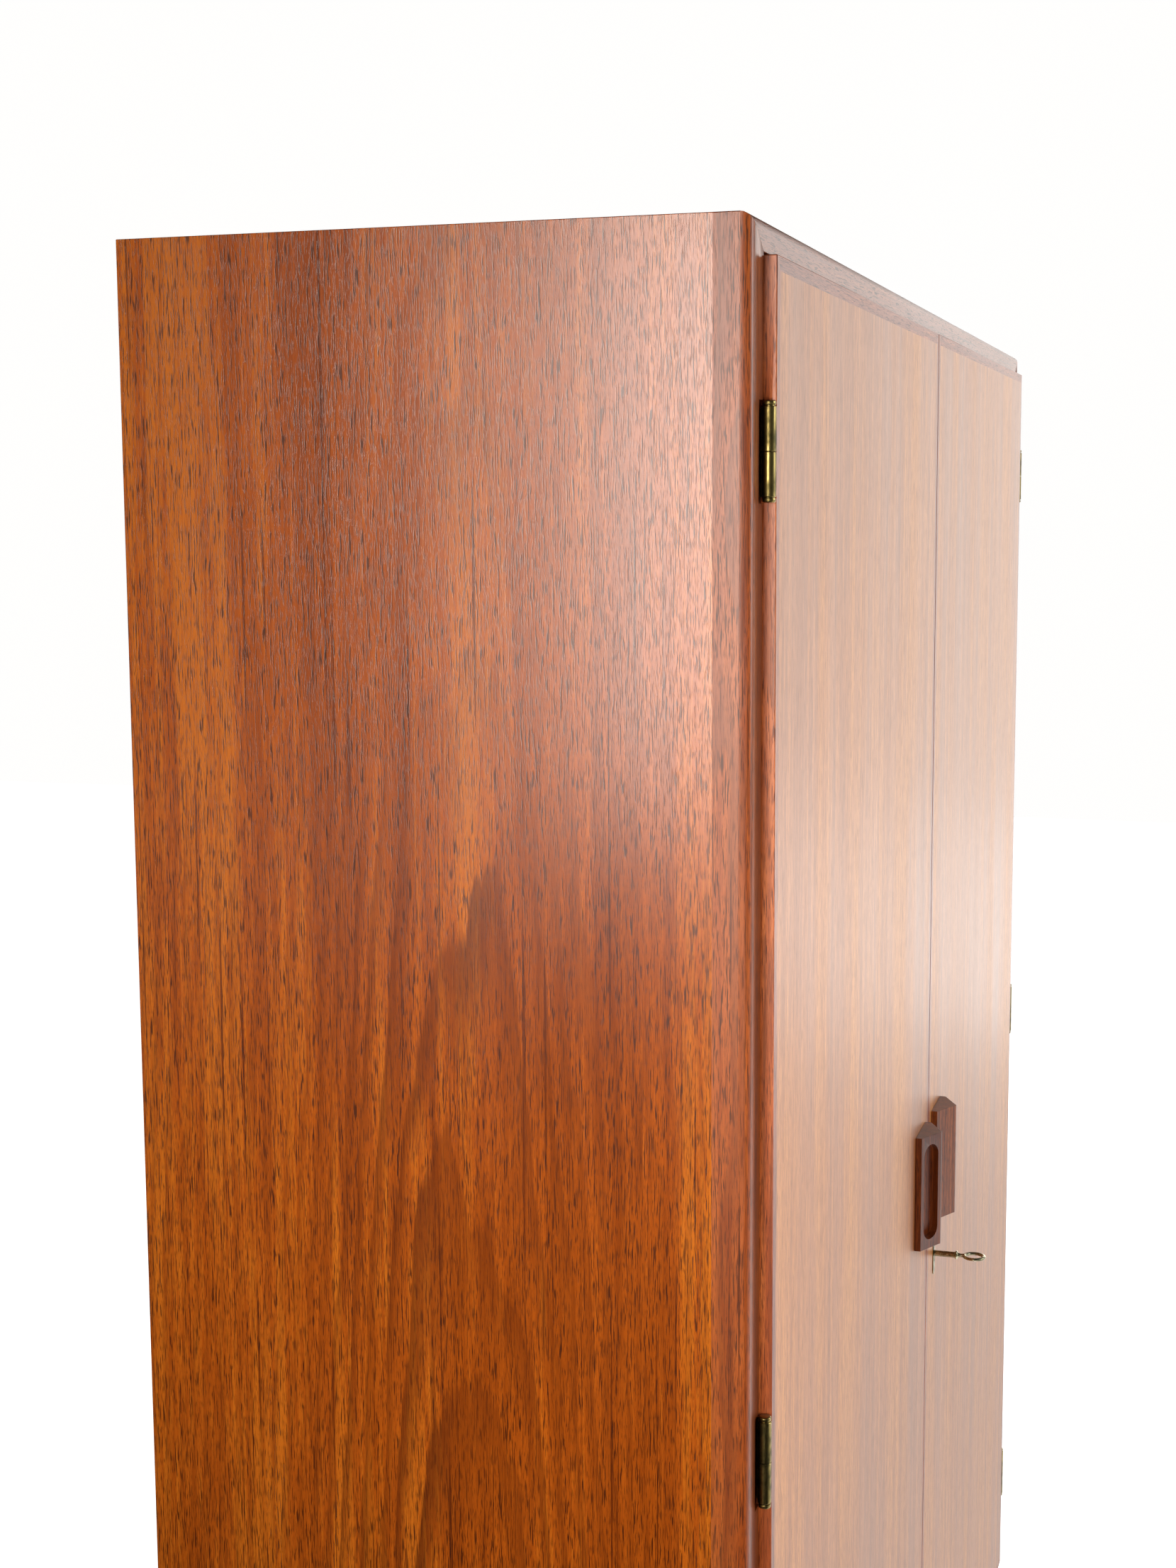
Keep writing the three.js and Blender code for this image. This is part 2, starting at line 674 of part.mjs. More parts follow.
const lockPocket = join(
  box(
    [lockX[0] - OVERCUT, lockX[1] + FIT],
    [lockFront - FIT, lockBack + FIT],
    around(keyZ, LOCK_HEIGHT / 2 + FIT),
  ),
  solidFrom(alongY(keyhole).translate(keyX, doorFront - OVERCUT, keyZ)),
  bitPassage(doorFront - OVERCUT, lockFront),
);

// The strike's seat and the bolt's pocket in the left door's meeting edge.
const strikeX = [doorRight - STRIKE_THICKNESS, doorRight];
const boltHole = {
  y: around(doorMidY, boltHalfThickness + 2 * FIT),
  z: around(keyZ, BOLT_HEIGHT / 2 + 2 * FIT),
};
const strikeSeat = join(
  box(
    [strikeX[0] - FIT, doorRight + OVERCUT],
    around(doorMidY, STRIKE_WIDTH / 2 + FIT),
    around(keyZ, STRIKE_HEIGHT / 2 + FIT),
  ),
  box([doorRight - BOLT_THROW - FIT, doorRight + OVERCUT], boltHole.y, boltHole.z),
);

addPiece("left_door_panel", doorPanel(), teak);
addPiece("left_door_hinge_lipping", hingeStrip(), teakLipping);
addPiece("left_door_meeting_lipping", cut(meetingStrip(), strikeSeat), teakLipping);
addPiece("left_door_top_lipping", topStrip(), teakLipping);
addPiece("left_door_bottom_lipping", bottomStrip(), teakLipping);
addPiece("right_door_panel", cut(mirrored(doorPanel()), lockPocket), teak);
addPiece("right_door_hinge_lipping", mirrored(hingeStrip()), teakLipping);
addPiece("right_door_meeting_lipping", cut(mirrored(meetingStrip()), lockPocket), teakLipping);
addPiece("right_door_top_lipping", mirrored(topStrip()), teakLipping);
addPiece("right_door_bottom_lipping", mirrored(bottomStrip()), teakLipping);

// ---- Handles ----

// The left handle. In its section u runs away from the meeting line and v stands off the door.
function handle() {
  const half = HANDLE_WIDTH / 2;
  const ridge = HANDLE_RIDGE_WIDTH / 2;
  const shoulder = HANDLE_HEIGHT - HANDLE_RIDGE_ROUNDING;
  const section = new THREE.Shape();
  section.moveTo(-half, 0);
  section.lineTo(half, 0);
  section.lineTo(half, HANDLE_SIDE_HEIGHT);
  section.lineTo(ridge, shoulder);
  section.quadraticCurveTo(0, HANDLE_HEIGHT + HANDLE_RIDGE_ROUNDING, -ridge, shoulder);
  section.lineTo(-half, HANDLE_SIDE_HEIGHT);
  const slotU = (half + ridge) / 2 - SLOT_SHIFT;
  const slotV = (HANDLE_SIDE_HEIGHT + shoulder + SLOT_SHIFT) / 2;
  const block = new THREE.ExtrudeGeometry(section, {
    depth: HANDLE_LENGTH,
    bevelEnabled: false,
    curveSegments: RIDGE_SEGMENTS,
  }).translate(0, 0, -HANDLE_LENGTH / 2);
  const slot = new THREE.ExtrudeGeometry(stadium(SLOT_WIDTH, SLOT_LENGTH), {
    depth: SLOT_DEPTH + HANDLE_HEIGHT,
    bevelEnabled: false,
    curveSegments: END_ARC_SEGMENTS,
  })
    .translate(0, 0, -SLOT_DEPTH)
    .rotateX(Math.PI / 2)
    .scale(1, -1, 1)
    .rotateZ(-SLOT_TILT)
    .translate(slotU, slotV, 0);
  const floor = box([-half, 2 * half], [-HANDLE_HEIGHT, SLOT_FLOOR], [-HANDLE_LENGTH, HANDLE_LENGTH]);
  const hollowed = cut(solidFrom(block), cut(solidFrom(slot), floor));
  const placed = geometryFrom(hollowed)
    .scale(-1, -1, 1)
    .translate(middle - HANDLE_OFFSET, doorFront, topZ - HANDLE_DROP);
  return solidFrom(placed);
}

addPiece("left_handle", handle(), teakHandle);
addPiece("right_handle", mirrored(handle()), teakHandle);

// ---- Lock, key and strike ----

const innerLockY = around(doorMidY, boltHalfThickness + FIT);
const boltLength = keyX - LOCK_CHAMBER_RADIUS - FIT - BOLT_RECESS - lockX[0];

function lockCase() {
  const chamberDepth = innerLockY[1] - innerLockY[0];
  return cut(
    box(lockX, [lockFront, lockBack], around(keyZ, LOCK_HEIGHT / 2)),
    solidFrom(alongY(rod(LOCK_CHAMBER_RADIUS, chamberDepth)).translate(keyX, innerLockY[0], keyZ)),
    solidFrom(
      alongY(rod(KEY_SHAFT_RADIUS + FIT, LOCK_WALL + 2 * OVERCUT)).translate(keyX, lockFront - OVERCUT, keyZ),
    ),
    bitPassage(lockFront - OVERCUT, innerLockY[0] + OVERCUT),
    box([lockX[0] - OVERCUT, keyX], innerLockY, around(keyZ, BOLT_HEIGHT / 2 + FIT)),
  );
}

function lockBolt() {
  const start = lockX[0] + BOLT_RECESS;
  return box(
    [start, start + boltLength],
    around(doorMidY, boltHalfThickness),
    around(keyZ, BOLT_HEIGHT / 2),
  );
}

function escutcheon() {
  const plate = new THREE.ExtrudeGeometry(stadium(ESCUTCHEON_WIDTH, ESCUTCHEON_HEIGHT), {
    depth: ESCUTCHEON_THICKNESS,
    bevelEnabled: false,
    curveSegments: END_ARC_SEGMENTS,
  });
  const holeStart = doorFront - ESCUTCHEON_THICKNESS - OVERCUT;
  const hole = rod(KEY_SHAFT_RADIUS + FIT, ESCUTCHEON_THICKNESS + 2 * OVERCUT, SMALL_SIDES);
  return cut(
    solidFrom(plate.rotateX(Math.PI / 2).translate(keyX, doorFront, keyZ)),
    solidFrom(alongY(hole).translate(keyX, holeStart, keyZ)),
    bitPassage(holeStart, doorFront + OVERCUT),
  );
}

// The key: shaft, collar and neck are one turning; the bow is an oval ring and the bit a flat tooth.
function key() {
  const tip = innerLockY[1] - FIT - doorFront;
  const collar = KEY_SHAFT_REACH;
  const neck = collar + KEY_COLLAR_LENGTH;
  const bowLength = KEY_REACH - neck - KEY_NECK_LENGTH;
  const bowCentre = KEY_REACH - bowLength / 2;
  const shaft = turned([
    [0, -tip],
    [KEY_SHAFT_RADIUS, -tip],
    [KEY_SHAFT_RADIUS, collar],
    [KEY_COLLAR_RADIUS, collar],
    [KEY_COLLAR_RADIUS, neck],
    [KEY_NECK_RADIUS, neck],
    [KEY_NECK_RADIUS, neck + KEY_NECK_LENGTH + OVERCUT],
    [0, neck + KEY_NECK_LENGTH + OVERCUT],
  ], SMALL_SIDES)
    .rotateX(Math.PI / 2)
    .translate(keyX, doorFront, keyZ);
  const bow = new THREE.Shape();
  bow.absellipse(0, 0, KEY_BOW_WIDTH / 2, bowLength / 2, 0, 2 * Math.PI, false);
  const eye = new THREE.Path();
  eye.absellipse(0, 0, KEY_BOW_WIDTH / 2 - KEY_BOW_BAND, bowLength / 2 - KEY_BOW_BAND, 0, 2 * Math.PI, true);
  bow.holes.push(eye);
  const ring = new THREE.ExtrudeGeometry(bow, {
    depth: KEY_BOW_THICKNESS,
    bevelEnabled: false,
    curveSegments: ROUND_SIDES,
  }).translate(keyX, doorFront - bowCentre, keyZ - KEY_BOW_THICKNESS / 2);
  const bit = box(
    [keyX, keyX + KEY_SHAFT_RADIUS + KEY_BIT_LENGTH],
    around(doorMidY, boltHalfThickness),
    around(keyZ, KEY_BIT_THICKNESS / 2),
  );
  return join(solidFrom(shaft), solidFrom(ring), bit);
}

addPiece("lock_case", lockCase(), steel);
addPiece("lock_bolt", lockBolt(), brass);
addPiece("escutcheon", escutcheon(), brass);
addPiece("key", key(), nickel);
addPiece(
  "strike_plate",
  cut(
    box(strikeX, around(doorMidY, STRIKE_WIDTH / 2), around(keyZ, STRIKE_HEIGHT / 2)),
    box([strikeX[0] - OVERCUT, strikeX[1] + OVERCUT], boltHole.y, boltHole.z),
  ),
  brass,
);

// ---- Slide bolts of the left door: direction is 1 for the top one and -1 for the bottom one ----

function slideBolt(name, edgeZ, direction) {
  const x = middle - SLIDE_OFFSET;
  const span = (near, far) => [edgeZ - direction * near, edgeZ - direction * far].sort((a, b) => a - b);
  const caseEnd = SLIDE_CASE_DROP + SLIDE_CASE_HEIGHT;
  const knobCentre = SLIDE_CASE_DROP + SLIDE_CASE_HEIGHT / 2 + SLIDE_THROW / 2;
  const knobSpan = span(knobCentre - SLIDE_KNOB_HEIGHT / 2, knobCentre + SLIDE_KNOB_HEIGHT / 2);
  const [rodFront, rodBack] = slideRodY(0);
  const slotSpan = span(
    knobCentre - SLIDE_KNOB_HEIGHT / 2 - SLIDE_THROW - FIT,
    knobCentre + SLIDE_KNOB_HEIGHT / 2 + FIT,
  );
  const casing = cut(
    box(
      around(x, SLIDE_CASE_WIDTH / 2),
      [doorBack, doorBack + SLIDE_CASE_DEPTH],
      span(SLIDE_CASE_DROP, caseEnd),
    ),
    box(
      around(x, SLIDE_ROD_WIDTH / 2 + FIT),
      slideRodY(FIT),
      span(SLIDE_CASE_DROP - OVERCUT, caseEnd + OVERCUT),
    ),
    box(around(x, SLIDE_KNOB_WIDTH / 2 + FIT), [rodBack, doorBack + SLIDE_CASE_DEPTH + OVERCUT], slotSpan),
  );
  const bar = box(around(x, SLIDE_ROD_WIDTH / 2), [rodFront, rodBack], span(0, SLIDE_ROD_LENGTH));
  const knobY = [rodBack - OVERCUT, rodBack + SLIDE_KNOB_REACH];
  const knob = box(around(x, SLIDE_KNOB_WIDTH / 2), knobY, knobSpan);
  addPiece(`${name}_slide_case`, casing, brass);
  addPiece(`${name}_slide_bolt`, join(bar, knob), brass);
}

slideBolt("upper", doorTop, 1);
slideBolt("lower", doorBottom, -1);

export default wardrobe;
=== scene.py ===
# %% [markdown]
# # A teak wardrobe with two inset doors
#
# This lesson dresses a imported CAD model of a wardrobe. The CAD model holds every size and every
# joint, so nothing here is measured again: each position comes from the box of a CAD node.
# We write one small function for nodes, one for turned shapes and one for eased boards,
# and most of the wardrobe is made from those three.

# %% Load the frame
import math

import bmesh
import bpy
import numpy as np
from mathutils import Matrix, Vector


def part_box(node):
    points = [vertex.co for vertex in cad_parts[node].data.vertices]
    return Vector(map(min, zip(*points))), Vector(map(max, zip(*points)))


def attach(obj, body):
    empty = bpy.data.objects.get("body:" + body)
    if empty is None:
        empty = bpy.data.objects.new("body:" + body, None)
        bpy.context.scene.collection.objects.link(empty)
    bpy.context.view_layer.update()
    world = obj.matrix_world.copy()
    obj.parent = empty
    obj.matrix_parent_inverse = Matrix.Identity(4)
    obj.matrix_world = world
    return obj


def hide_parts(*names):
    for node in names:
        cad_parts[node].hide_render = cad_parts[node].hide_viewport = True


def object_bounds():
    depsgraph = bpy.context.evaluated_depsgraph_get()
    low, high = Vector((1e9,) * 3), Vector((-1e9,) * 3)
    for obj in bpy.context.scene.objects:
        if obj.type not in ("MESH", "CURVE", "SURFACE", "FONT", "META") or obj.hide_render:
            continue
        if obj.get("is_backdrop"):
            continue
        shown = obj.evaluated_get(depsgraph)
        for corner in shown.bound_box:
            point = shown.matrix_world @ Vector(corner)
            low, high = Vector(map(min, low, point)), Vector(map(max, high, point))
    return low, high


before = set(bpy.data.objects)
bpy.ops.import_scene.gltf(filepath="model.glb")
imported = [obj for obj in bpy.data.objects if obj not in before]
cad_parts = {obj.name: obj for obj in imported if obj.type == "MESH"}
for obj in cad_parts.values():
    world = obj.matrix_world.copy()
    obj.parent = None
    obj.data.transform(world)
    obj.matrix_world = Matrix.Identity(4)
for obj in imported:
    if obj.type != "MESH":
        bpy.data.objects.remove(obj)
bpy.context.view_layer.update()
MM = 0.001

# %% [markdown]
# ## Colours and nodes
#
# A colour picked from a paint card is an sRGB hex value, but Blender's shaders work in linear light.
# One function turns the first into the second. A second function adds any node: its options are given
# by name, and its inputs are filled either with a value or with another node's output, which makes a link.


# %% Two helpers for materials
def linear(code, alpha=1.0):
    """An sRGB hex code as linear light: each channel is divided by 12.92 when dark, else raised to 2.4."""
    channels = np.array([int(code[i : i + 2], 16) for i in (1, 3, 5)]) / 255
    dark = channels <= 0.04045
    light = np.where(dark, channels / 12.92, ((channels + 0.055) / 1.055) ** 2.4)
    return (*light.tolist(), alpha)


def add(tree, kind, values=None, **settings):
    """Adds one node. A value that is another node's output becomes a link; any other fills the input."""
    node = tree.nodes.new(kind)
    for name, setting in settings.items():
        setattr(node, name, setting)
    for name, value in (values or {}).items():
        if isinstance(value, bpy.types.NodeSocket):
            tree.links.new(value, node.inputs[name])
        else:
            node.inputs[name].default_value = value
    return node


MATH, MIX, REMAP = "ShaderNodeMath", "ShaderNodeMix", "ShaderNodeMapRange"
MIX_A, MIX_B, MIX_RESULT = 6, 7, 2
print("teak in linear light:", [round(v, 3) for v in linear("#8A3F12")])

# %% [markdown]
# ## Patterns that follow the grain
#
# Teak has long vessels, or pores, that run up the tree, so every pattern is short across the grain and
# long along it. A Mapping node divides the coordinates by a real width and a real length in millimetres,
# and a Noise texture of scale 1 then has features of about that size. Because the coordinates are the
# object's own, the pattern is solid: end grain shows the same pores as dots.


# %% Grain patterns
TURNS = {"Z": (0.0, 0.0, 0.0), "X": (0.0, -math.pi / 2, 0.0), "Y": (math.pi / 2, 0.0, 0.0)}


def grain_noise(tree, place, across, along, detail=2.0, shift=0.0):
    """Noise whose features are `across` mm wide and `along` mm long, where the grain is the third axis."""
    scale = (1 / (across * MM), 1 / (across * MM), 1 / (along * MM))
    stretched = add(
        tree, "ShaderNodeMapping", {"Vector": place, "Scale": scale, "Location": (shift, shift, shift)}
    )
    noise = add(
        tree,
        "ShaderNodeTexNoise",
        {"Vector": stretched.outputs[0], "Scale": 1.0, "Detail": detail, "Roughness": 0.55},
    )
    return noise.outputs[0]


print("grain axes:", sorted(TURNS))

# %% [markdown]
# ## Growth rings
#
# A veneer sliced beside the middle of the log shows "cathedrals": nested arches with straight grain at
# both sides. They appear because the tree tapers, so its rings are very long cones. We build just that:
# the distance from a leaning centre line, divided by the ring width. A little noise across the grain
# makes the tips of the arches ragged, as the slicing knife leaves them. Far from the centre line
# the same cones give straight, quarter-cut stripes. In a real flitch the figure is strongest beside the
# heart, so the lines fade sideways, and they fade again above the height where the arches end.


# %% Rings
# The two patterns are a width and a length in mm, a detail and a shift.
FAINT_RING = 0.3
RING_END_BLEND = 0.16
SOFT_WANDER, RAGGED_TIP = (70, 420, 2.0, 3.1), (7, 90, 3.0, 8.4)


def ring_shade(tree, place, rings):
    """How near a point is to the dark end of its ring: 0 in early wood, and 1 where a ring closes.

    The radius is the root of the sum of two squares: the distance from the centre line sideways, and the
    distance from it inwards, which grows along the grain by the taper. The line is then dimmed to
    `FAINT_RING` beyond the distance `fade` sideways, and above the height `end`."""
    axes = add(tree, "ShaderNodeSeparateXYZ", {0: place}).outputs
    sideways, inwards = axes[rings["sideways"]], axes[1 - rings["sideways"]]
    if rings["twin"]:
        inwards = add(tree, MATH, {0: inwards}, operation="ABSOLUTE").outputs[0]
    taper = {0: axes[2], 1: rings["taper"], 2: rings["start"]}
    climb = add(tree, MATH, taper, operation="MULTIPLY_ADD").outputs[0]
    depth = add(tree, MATH, {0: inwards, 1: climb}, operation="ADD").outputs[0]
    offset = add(tree, MATH, {0: sideways, 1: rings["centre"]}, operation="SUBTRACT").outputs[0]
    square = add(tree, MATH, {0: depth, 1: depth}, operation="MULTIPLY").outputs[0]
    total = add(tree, MATH, {0: offset, 1: offset, 2: square}, operation="MULTIPLY_ADD").outputs[0]
    radius = add(tree, MATH, {0: total}, operation="SQRT").outputs[0]
    for pattern, swing in ((SOFT_WANDER, rings["wander"]), (RAGGED_TIP, rings["ragged"])):
        noise = grain_noise(tree, place, *pattern)
        radius = add(tree, MATH, {0: noise, 1: swing, 2: radius}, operation="MULTIPLY_ADD").outputs[0]
    count = add(tree, MATH, {0: radius, 1: rings["width"] * MM}, operation="DIVIDE").outputs[0]
    phase = add(tree, MATH, {0: count}, operation="FRACT").outputs[0]
    rise = add(tree, REMAP, {0: phase, 1: 0.25, 2: 0.93}, interpolation_type="SMOOTHSTEP").outputs[0]
    fall = add(tree, REMAP, {0: phase, 1: 0.93, 2: 1.0, 3: 1.0, 4: 0.0}).outputs[0]
    line = add(tree, MATH, {0: rise, 1: fall}, operation="MULTIPLY").outputs[0]
    away = add(tree, MATH, {0: offset}, operation="ABSOLUTE").outputs[0]
    fade = {0: away, 1: rings["fade"] * 0.3, 2: rings["fade"], 3: 1.0, 4: FAINT_RING}
    fade = add(tree, REMAP, fade, interpolation_type="SMOOTHSTEP").outputs[0]
    line = add(tree, MATH, {0: line, 1: fade}, operation="MULTIPLY").outputs[0]
    end = {0: axes[2], 1: rings["end"], 2: rings["end"] + RING_END_BLEND, 3: 1.0, 4: FAINT_RING}
    end = add(tree, REMAP, end, interpolation_type="SMOOTHSTEP").outputs[0]
    return add(tree, MATH, {0: line, 1: end}, operation="MULTIPLY").outputs[0]


print("faintest ring line, as a share of the strongest:", FAINT_RING)

# %% [markdown]
# ## Oiled teak
#
# The wardrobe is teak: veneer on the boards, solid teak for the lippings and handles. It was sanded
# and oiled, not lacquered, so it has a satin shine and the pores stay open as fine dark dashes.
# A roughness near 0.4 and an index of refraction of 1.5 are usual for an oiled wood; the outer sides
# were rubbed smoother, to a little over 0.2. Real pores are about 0.3 mm wide, too fine to show here,
# so they are drawn 0.5 and 0.85 mm wide. The colour is built in layers, as in the wood: a soft tone
# from wide bands and fine fibres, then the rings, then dark mineral threads, and the pores on top.


# %% The teak recipe
# Each pattern is a width and a length in mm, a detail, and a shift that keeps it apart from the others.
PLANK, BAND, FIBRE = (60, 800, 2.0), (11, 480, 2.0, 5.0), (1.7, 55, 3.0, 11.0)
MINERAL, THREAD = (9, 210, 1.5, 21.0), (3.2, 330, 1.0, 33.0)
COARSE_PORE, FINE_PORE = (0.85, 16, 1.0, 45.0), (0.5, 8, 1.0, 57.0)
TONE_LOW, TONE_HIGH = 0.4, 0.6
# Between these two noise values a mark grows from nothing to its full strength.
MINERAL_EDGE, THREAD_EDGE = (0.64, 0.76), (0.68, 0.74)
COARSE_EDGE, FINE_EDGE = (0.545, 0.65), (0.54, 0.68)
MINERAL_SHARE, FINE_PORE_SHARE, LATE_PORE_SHARE = 0.6, 0.75, 0.55
PORE_DEPTH = 0.85
PORE_ROUGHNESS, PLANK_ROUGHNESS = 0.04, 0.1
FIBRE_RELIEF = 0.25
GRAIN_RELIEF = 0.06 * MM
TEAK_IOR = 1.5


def oiled_teak(name, along, tones, rings, ring_depth=0.5, streaks=0.5, satin=0.4, grain_depth=0.35):
    """A teak material whose grain runs along one axis.

    `tones` are deep, middle, light, streak and pore; `satin` is the roughness of its smoothest wood."""
    material = bpy.data.materials.new(name)
    material.use_nodes = True
    tree = material.node_tree
    tree.nodes.clear()
    own = add(tree, "ShaderNodeTexCoord").outputs["Object"]
    place = add(tree, "ShaderNodeMapping", {"Vector": own, "Rotation": TURNS[along]}).outputs[0]
    deep, middle, light, streak, pore = [linear(tone) for tone in tones]

    plank = grain_noise(tree, place, *PLANK)
    fibre = grain_noise(tree, place, *FIBRE)
    tone = None
    for noise, share in ((plank, 0.4), (grain_noise(tree, place, *BAND), 0.3), (fibre, 0.3)):
        parts = {0: noise, 1: share, 2: 0.0 if tone is None else tone}
        tone = add(tree, MATH, parts, operation="MULTIPLY_ADD").outputs[0]
    shades = add(tree, "ShaderNodeValToRGB", {0: tone})
    shades.color_ramp.elements[0].position = TONE_LOW
    shades.color_ramp.elements[0].color = deep
    shades.color_ramp.elements[1].position = TONE_HIGH
    shades.color_ramp.elements[1].color = light
    shades.color_ramp.elements.new((TONE_LOW + TONE_HIGH) / 2).color = middle
    colour = shades.outputs[0]

    late = ring_shade(tree, place, rings)
    mineral = grain_noise(tree, place, *MINERAL)
    mineral = {0: mineral, 1: MINERAL_EDGE[0], 2: MINERAL_EDGE[1], 4: MINERAL_SHARE}
    mineral = add(tree, REMAP, mineral, interpolation_type="SMOOTHSTEP").outputs[0]
    thread = grain_noise(tree, place, *THREAD)
    thread = {0: thread, 1: THREAD_EDGE[0], 2: THREAD_EDGE[1]}
    thread = add(tree, REMAP, thread, interpolation_type="SMOOTHSTEP").outputs[0]
    dark = add(tree, MATH, {0: mineral, 1: thread}, operation="MAXIMUM").outputs[0]
    coarse = grain_noise(tree, place, *COARSE_PORE)
    coarse = {0: coarse, 1: COARSE_EDGE[0], 2: COARSE_EDGE[1]}
    coarse = add(tree, REMAP, coarse, interpolation_type="SMOOTHSTEP").outputs[0]
    fine = grain_noise(tree, place, *FINE_PORE)
    fine = {0: fine, 1: FINE_EDGE[0], 2: FINE_EDGE[1], 4: FINE_PORE_SHARE}
    fine = add(tree, REMAP, fine, interpolation_type="SMOOTHSTEP").outputs[0]
    open_pores = add(tree, MATH, {0: coarse, 1: fine}, operation="MAXIMUM").outputs[0]
    early = add(tree, REMAP, {0: late, 3: 1.0, 4: LATE_PORE_SHARE}).outputs[0]
    pores = add(tree, MATH, {0: open_pores, 1: early}, operation="MULTIPLY").outputs[0]
    clear = add(tree, REMAP, {0: plank, 1: 0.38, 2: 0.62, 3: 0.45, 4: 1.0}).outputs[0]
    late = add(tree, MATH, {0: late, 1: clear}, operation="MULTIPLY").outputs[0]
    for mask, share, tint in ((late, ring_depth, streak), (dark, streaks, streak), (pores, PORE_DEPTH, pore)):
        factor = add(tree, MATH, {0: mask, 1: share}, operation="MULTIPLY").outputs[0]
        mixed = add(tree, MIX, {0: factor, MIX_A: colour, MIX_B: tint}, data_type="RGBA")
        colour = mixed.outputs[MIX_RESULT]

    rough = {0: pores, 1: PORE_ROUGHNESS, 2: satin - PLANK_ROUGHNESS / 2}
    rough = add(tree, MATH, rough, operation="MULTIPLY_ADD").outputs[0]
    rough = add(tree, MATH, {0: plank, 1: PLANK_ROUGHNESS, 2: rough}, operation="MULTIPLY_ADD").outputs[0]
    height = add(tree, MATH, {0: fibre, 1: FIBRE_RELIEF}, operation="MULTIPLY").outputs[0]
    height = add(tree, MATH, {0: height, 1: pores}, operation="SUBTRACT").outputs[0]
    bump = {"Strength": grain_depth, "Distance": GRAIN_RELIEF, "Height": height}
    bump = add(tree, "ShaderNodeBump", bump).outputs[0]
    values = {"Base Color": colour, "Roughness": rough, "Normal": bump, "IOR": TEAK_IOR}
    shader = add(tree, "ShaderNodeBsdfPrincipled", values)
    add(tree, "ShaderNodeOutputMaterial", {"Surface": shader.outputs[0]})
    return material


print("pore widths in mm:", FINE_PORE[0], COARSE_PORE[0])

# %% [markdown]
# ## The teak pieces of this wardrobe
#
# The sides are crown-cut: one centre line stands behind each side, near the middle of the board's depth, and
# the arches fade out a little above its middle height. The doors are quarter-cut, with fine straight stripes,
# and their tones are paler than the sides'. The solid lippings come close to the sides in colour, and the
# handles are a darker orange brown. Each recipe names the axis of its grain, its tones, its rings, how strong
# rings and threads are, and its satin.

# %% Teak materials
side_low, side_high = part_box("left_side_board")
# In metres: the heart lies this far behind the board's front edge, and this far inside its face at a
# height given as a drop from the top. The arches end a little above that height.
HEART_BACK, HEART_DEPTH, HEART_DROP, ARCH_RISE = 0.172, 0.09, 0.62, 0.13
TAPER = 0.06
face_x, heart_z = abs(side_low.x), side_high.z - HEART_DROP
CROWN = {
    "sideways": 1,
    "twin": True,
    "centre": side_low.y + HEART_BACK,
    "start": HEART_DEPTH - face_x - TAPER * heart_z,
    "taper": TAPER,
    "width": 10.0,
    "wander": 0.035,
    "ragged": 0.005,
    "fade": 0.16,
    "end": heart_z + ARCH_RISE,
}
QUARTER = {
    "sideways": 0, "twin": False, "centre": -2.6, "start": 0.5,
    "taper": 0.002, "width": 4.2, "wander": 0.02, "ragged": 0.001, "fade": 10.0, "end": 10.0,
}
SIDE_TONES = ("#763304", "#8B4007", "#A0540E", "#481A03", "#260D02")
DOOR_TONES = ("#8C5228", "#A8662E", "#C27E38", "#6C3C1A", "#764420")
BOARD_TONES = ("#7E3D17", "#9A5324", "#B4703A", "#4E2410", "#45200F")
LIPPING_TONES = ("#6C2C08", "#7E390C", "#904816", "#3C1606", "#2A0F04")
STRIP_TONES = ("#6E2E0F", "#8A421C", "#A65A2B", "#471C0B", "#43190A")
HANDLE_TONES = ("#4E1E0A", "#6E3212", "#8A461C", "#30120A", "#2C1008")
side_veneer = oiled_teak("oiled_teak_crown_cut_veneer", "Z", SIDE_TONES, CROWN, 0.8, 0.75, 0.22)
door_veneer = oiled_teak("oiled_teak_quarter_cut_veneer", "Z", DOOR_TONES, QUARTER, 0.25, 0.25, 0.4, 0.2)
upright_strip = oiled_teak("oiled_door_strip_upright", "Z", STRIP_TONES, QUARTER, 0.35, 0.5, 0.38)
level_strip = oiled_teak("oiled_door_strip_level", "X", STRIP_TONES, QUARTER, 0.35, 0.5, 0.4)
upright_veneer = oiled_teak("oiled_teak_upright_inner_veneer", "Z", BOARD_TONES, QUARTER, 0.4, 0.4, 0.46)
level_veneer = oiled_teak("oiled_teak_level_board_veneer", "X", BOARD_TONES, QUARTER, 0.4, 0.4, 0.46)
upright_lipping = oiled_teak("oiled_solid_teak_upright", "Z", LIPPING_TONES, QUARTER, 0.35, 0.8, 0.34)
level_lipping = oiled_teak("oiled_solid_teak_level", "X", LIPPING_TONES, QUARTER, 0.35, 0.6, 0.36)
bearer_teak = oiled_teak("oiled_solid_teak_bearer", "Y", LIPPING_TONES, QUARTER, 0.4, 0.5, 0.5)
handle_teak = oiled_teak("oiled_shaped_teak_handle", "Z", HANDLE_TONES, QUARTER, 0.5, 0.5, 0.33, 0.3)
print("teak materials:", sum("teak" in m.name for m in bpy.data.materials))

# %% [markdown]
# ## Plywood, brass, steel and nickel
#
# The back is thin plywood with a plain pale face. The hinges, the lock plates and the slide bolts are
# brass that has never been polished: its skin has turned olive, and only the places that fingers
# and the doors rub stay bright. A metal's colour is its reflection, so it goes in the base colour with
# metallic at 1, and the tarnish is a slow noise that moves both the colour and the roughness.
# The plywood uses the teak recipe with paler tones, because it too is a sliced veneer with pores.


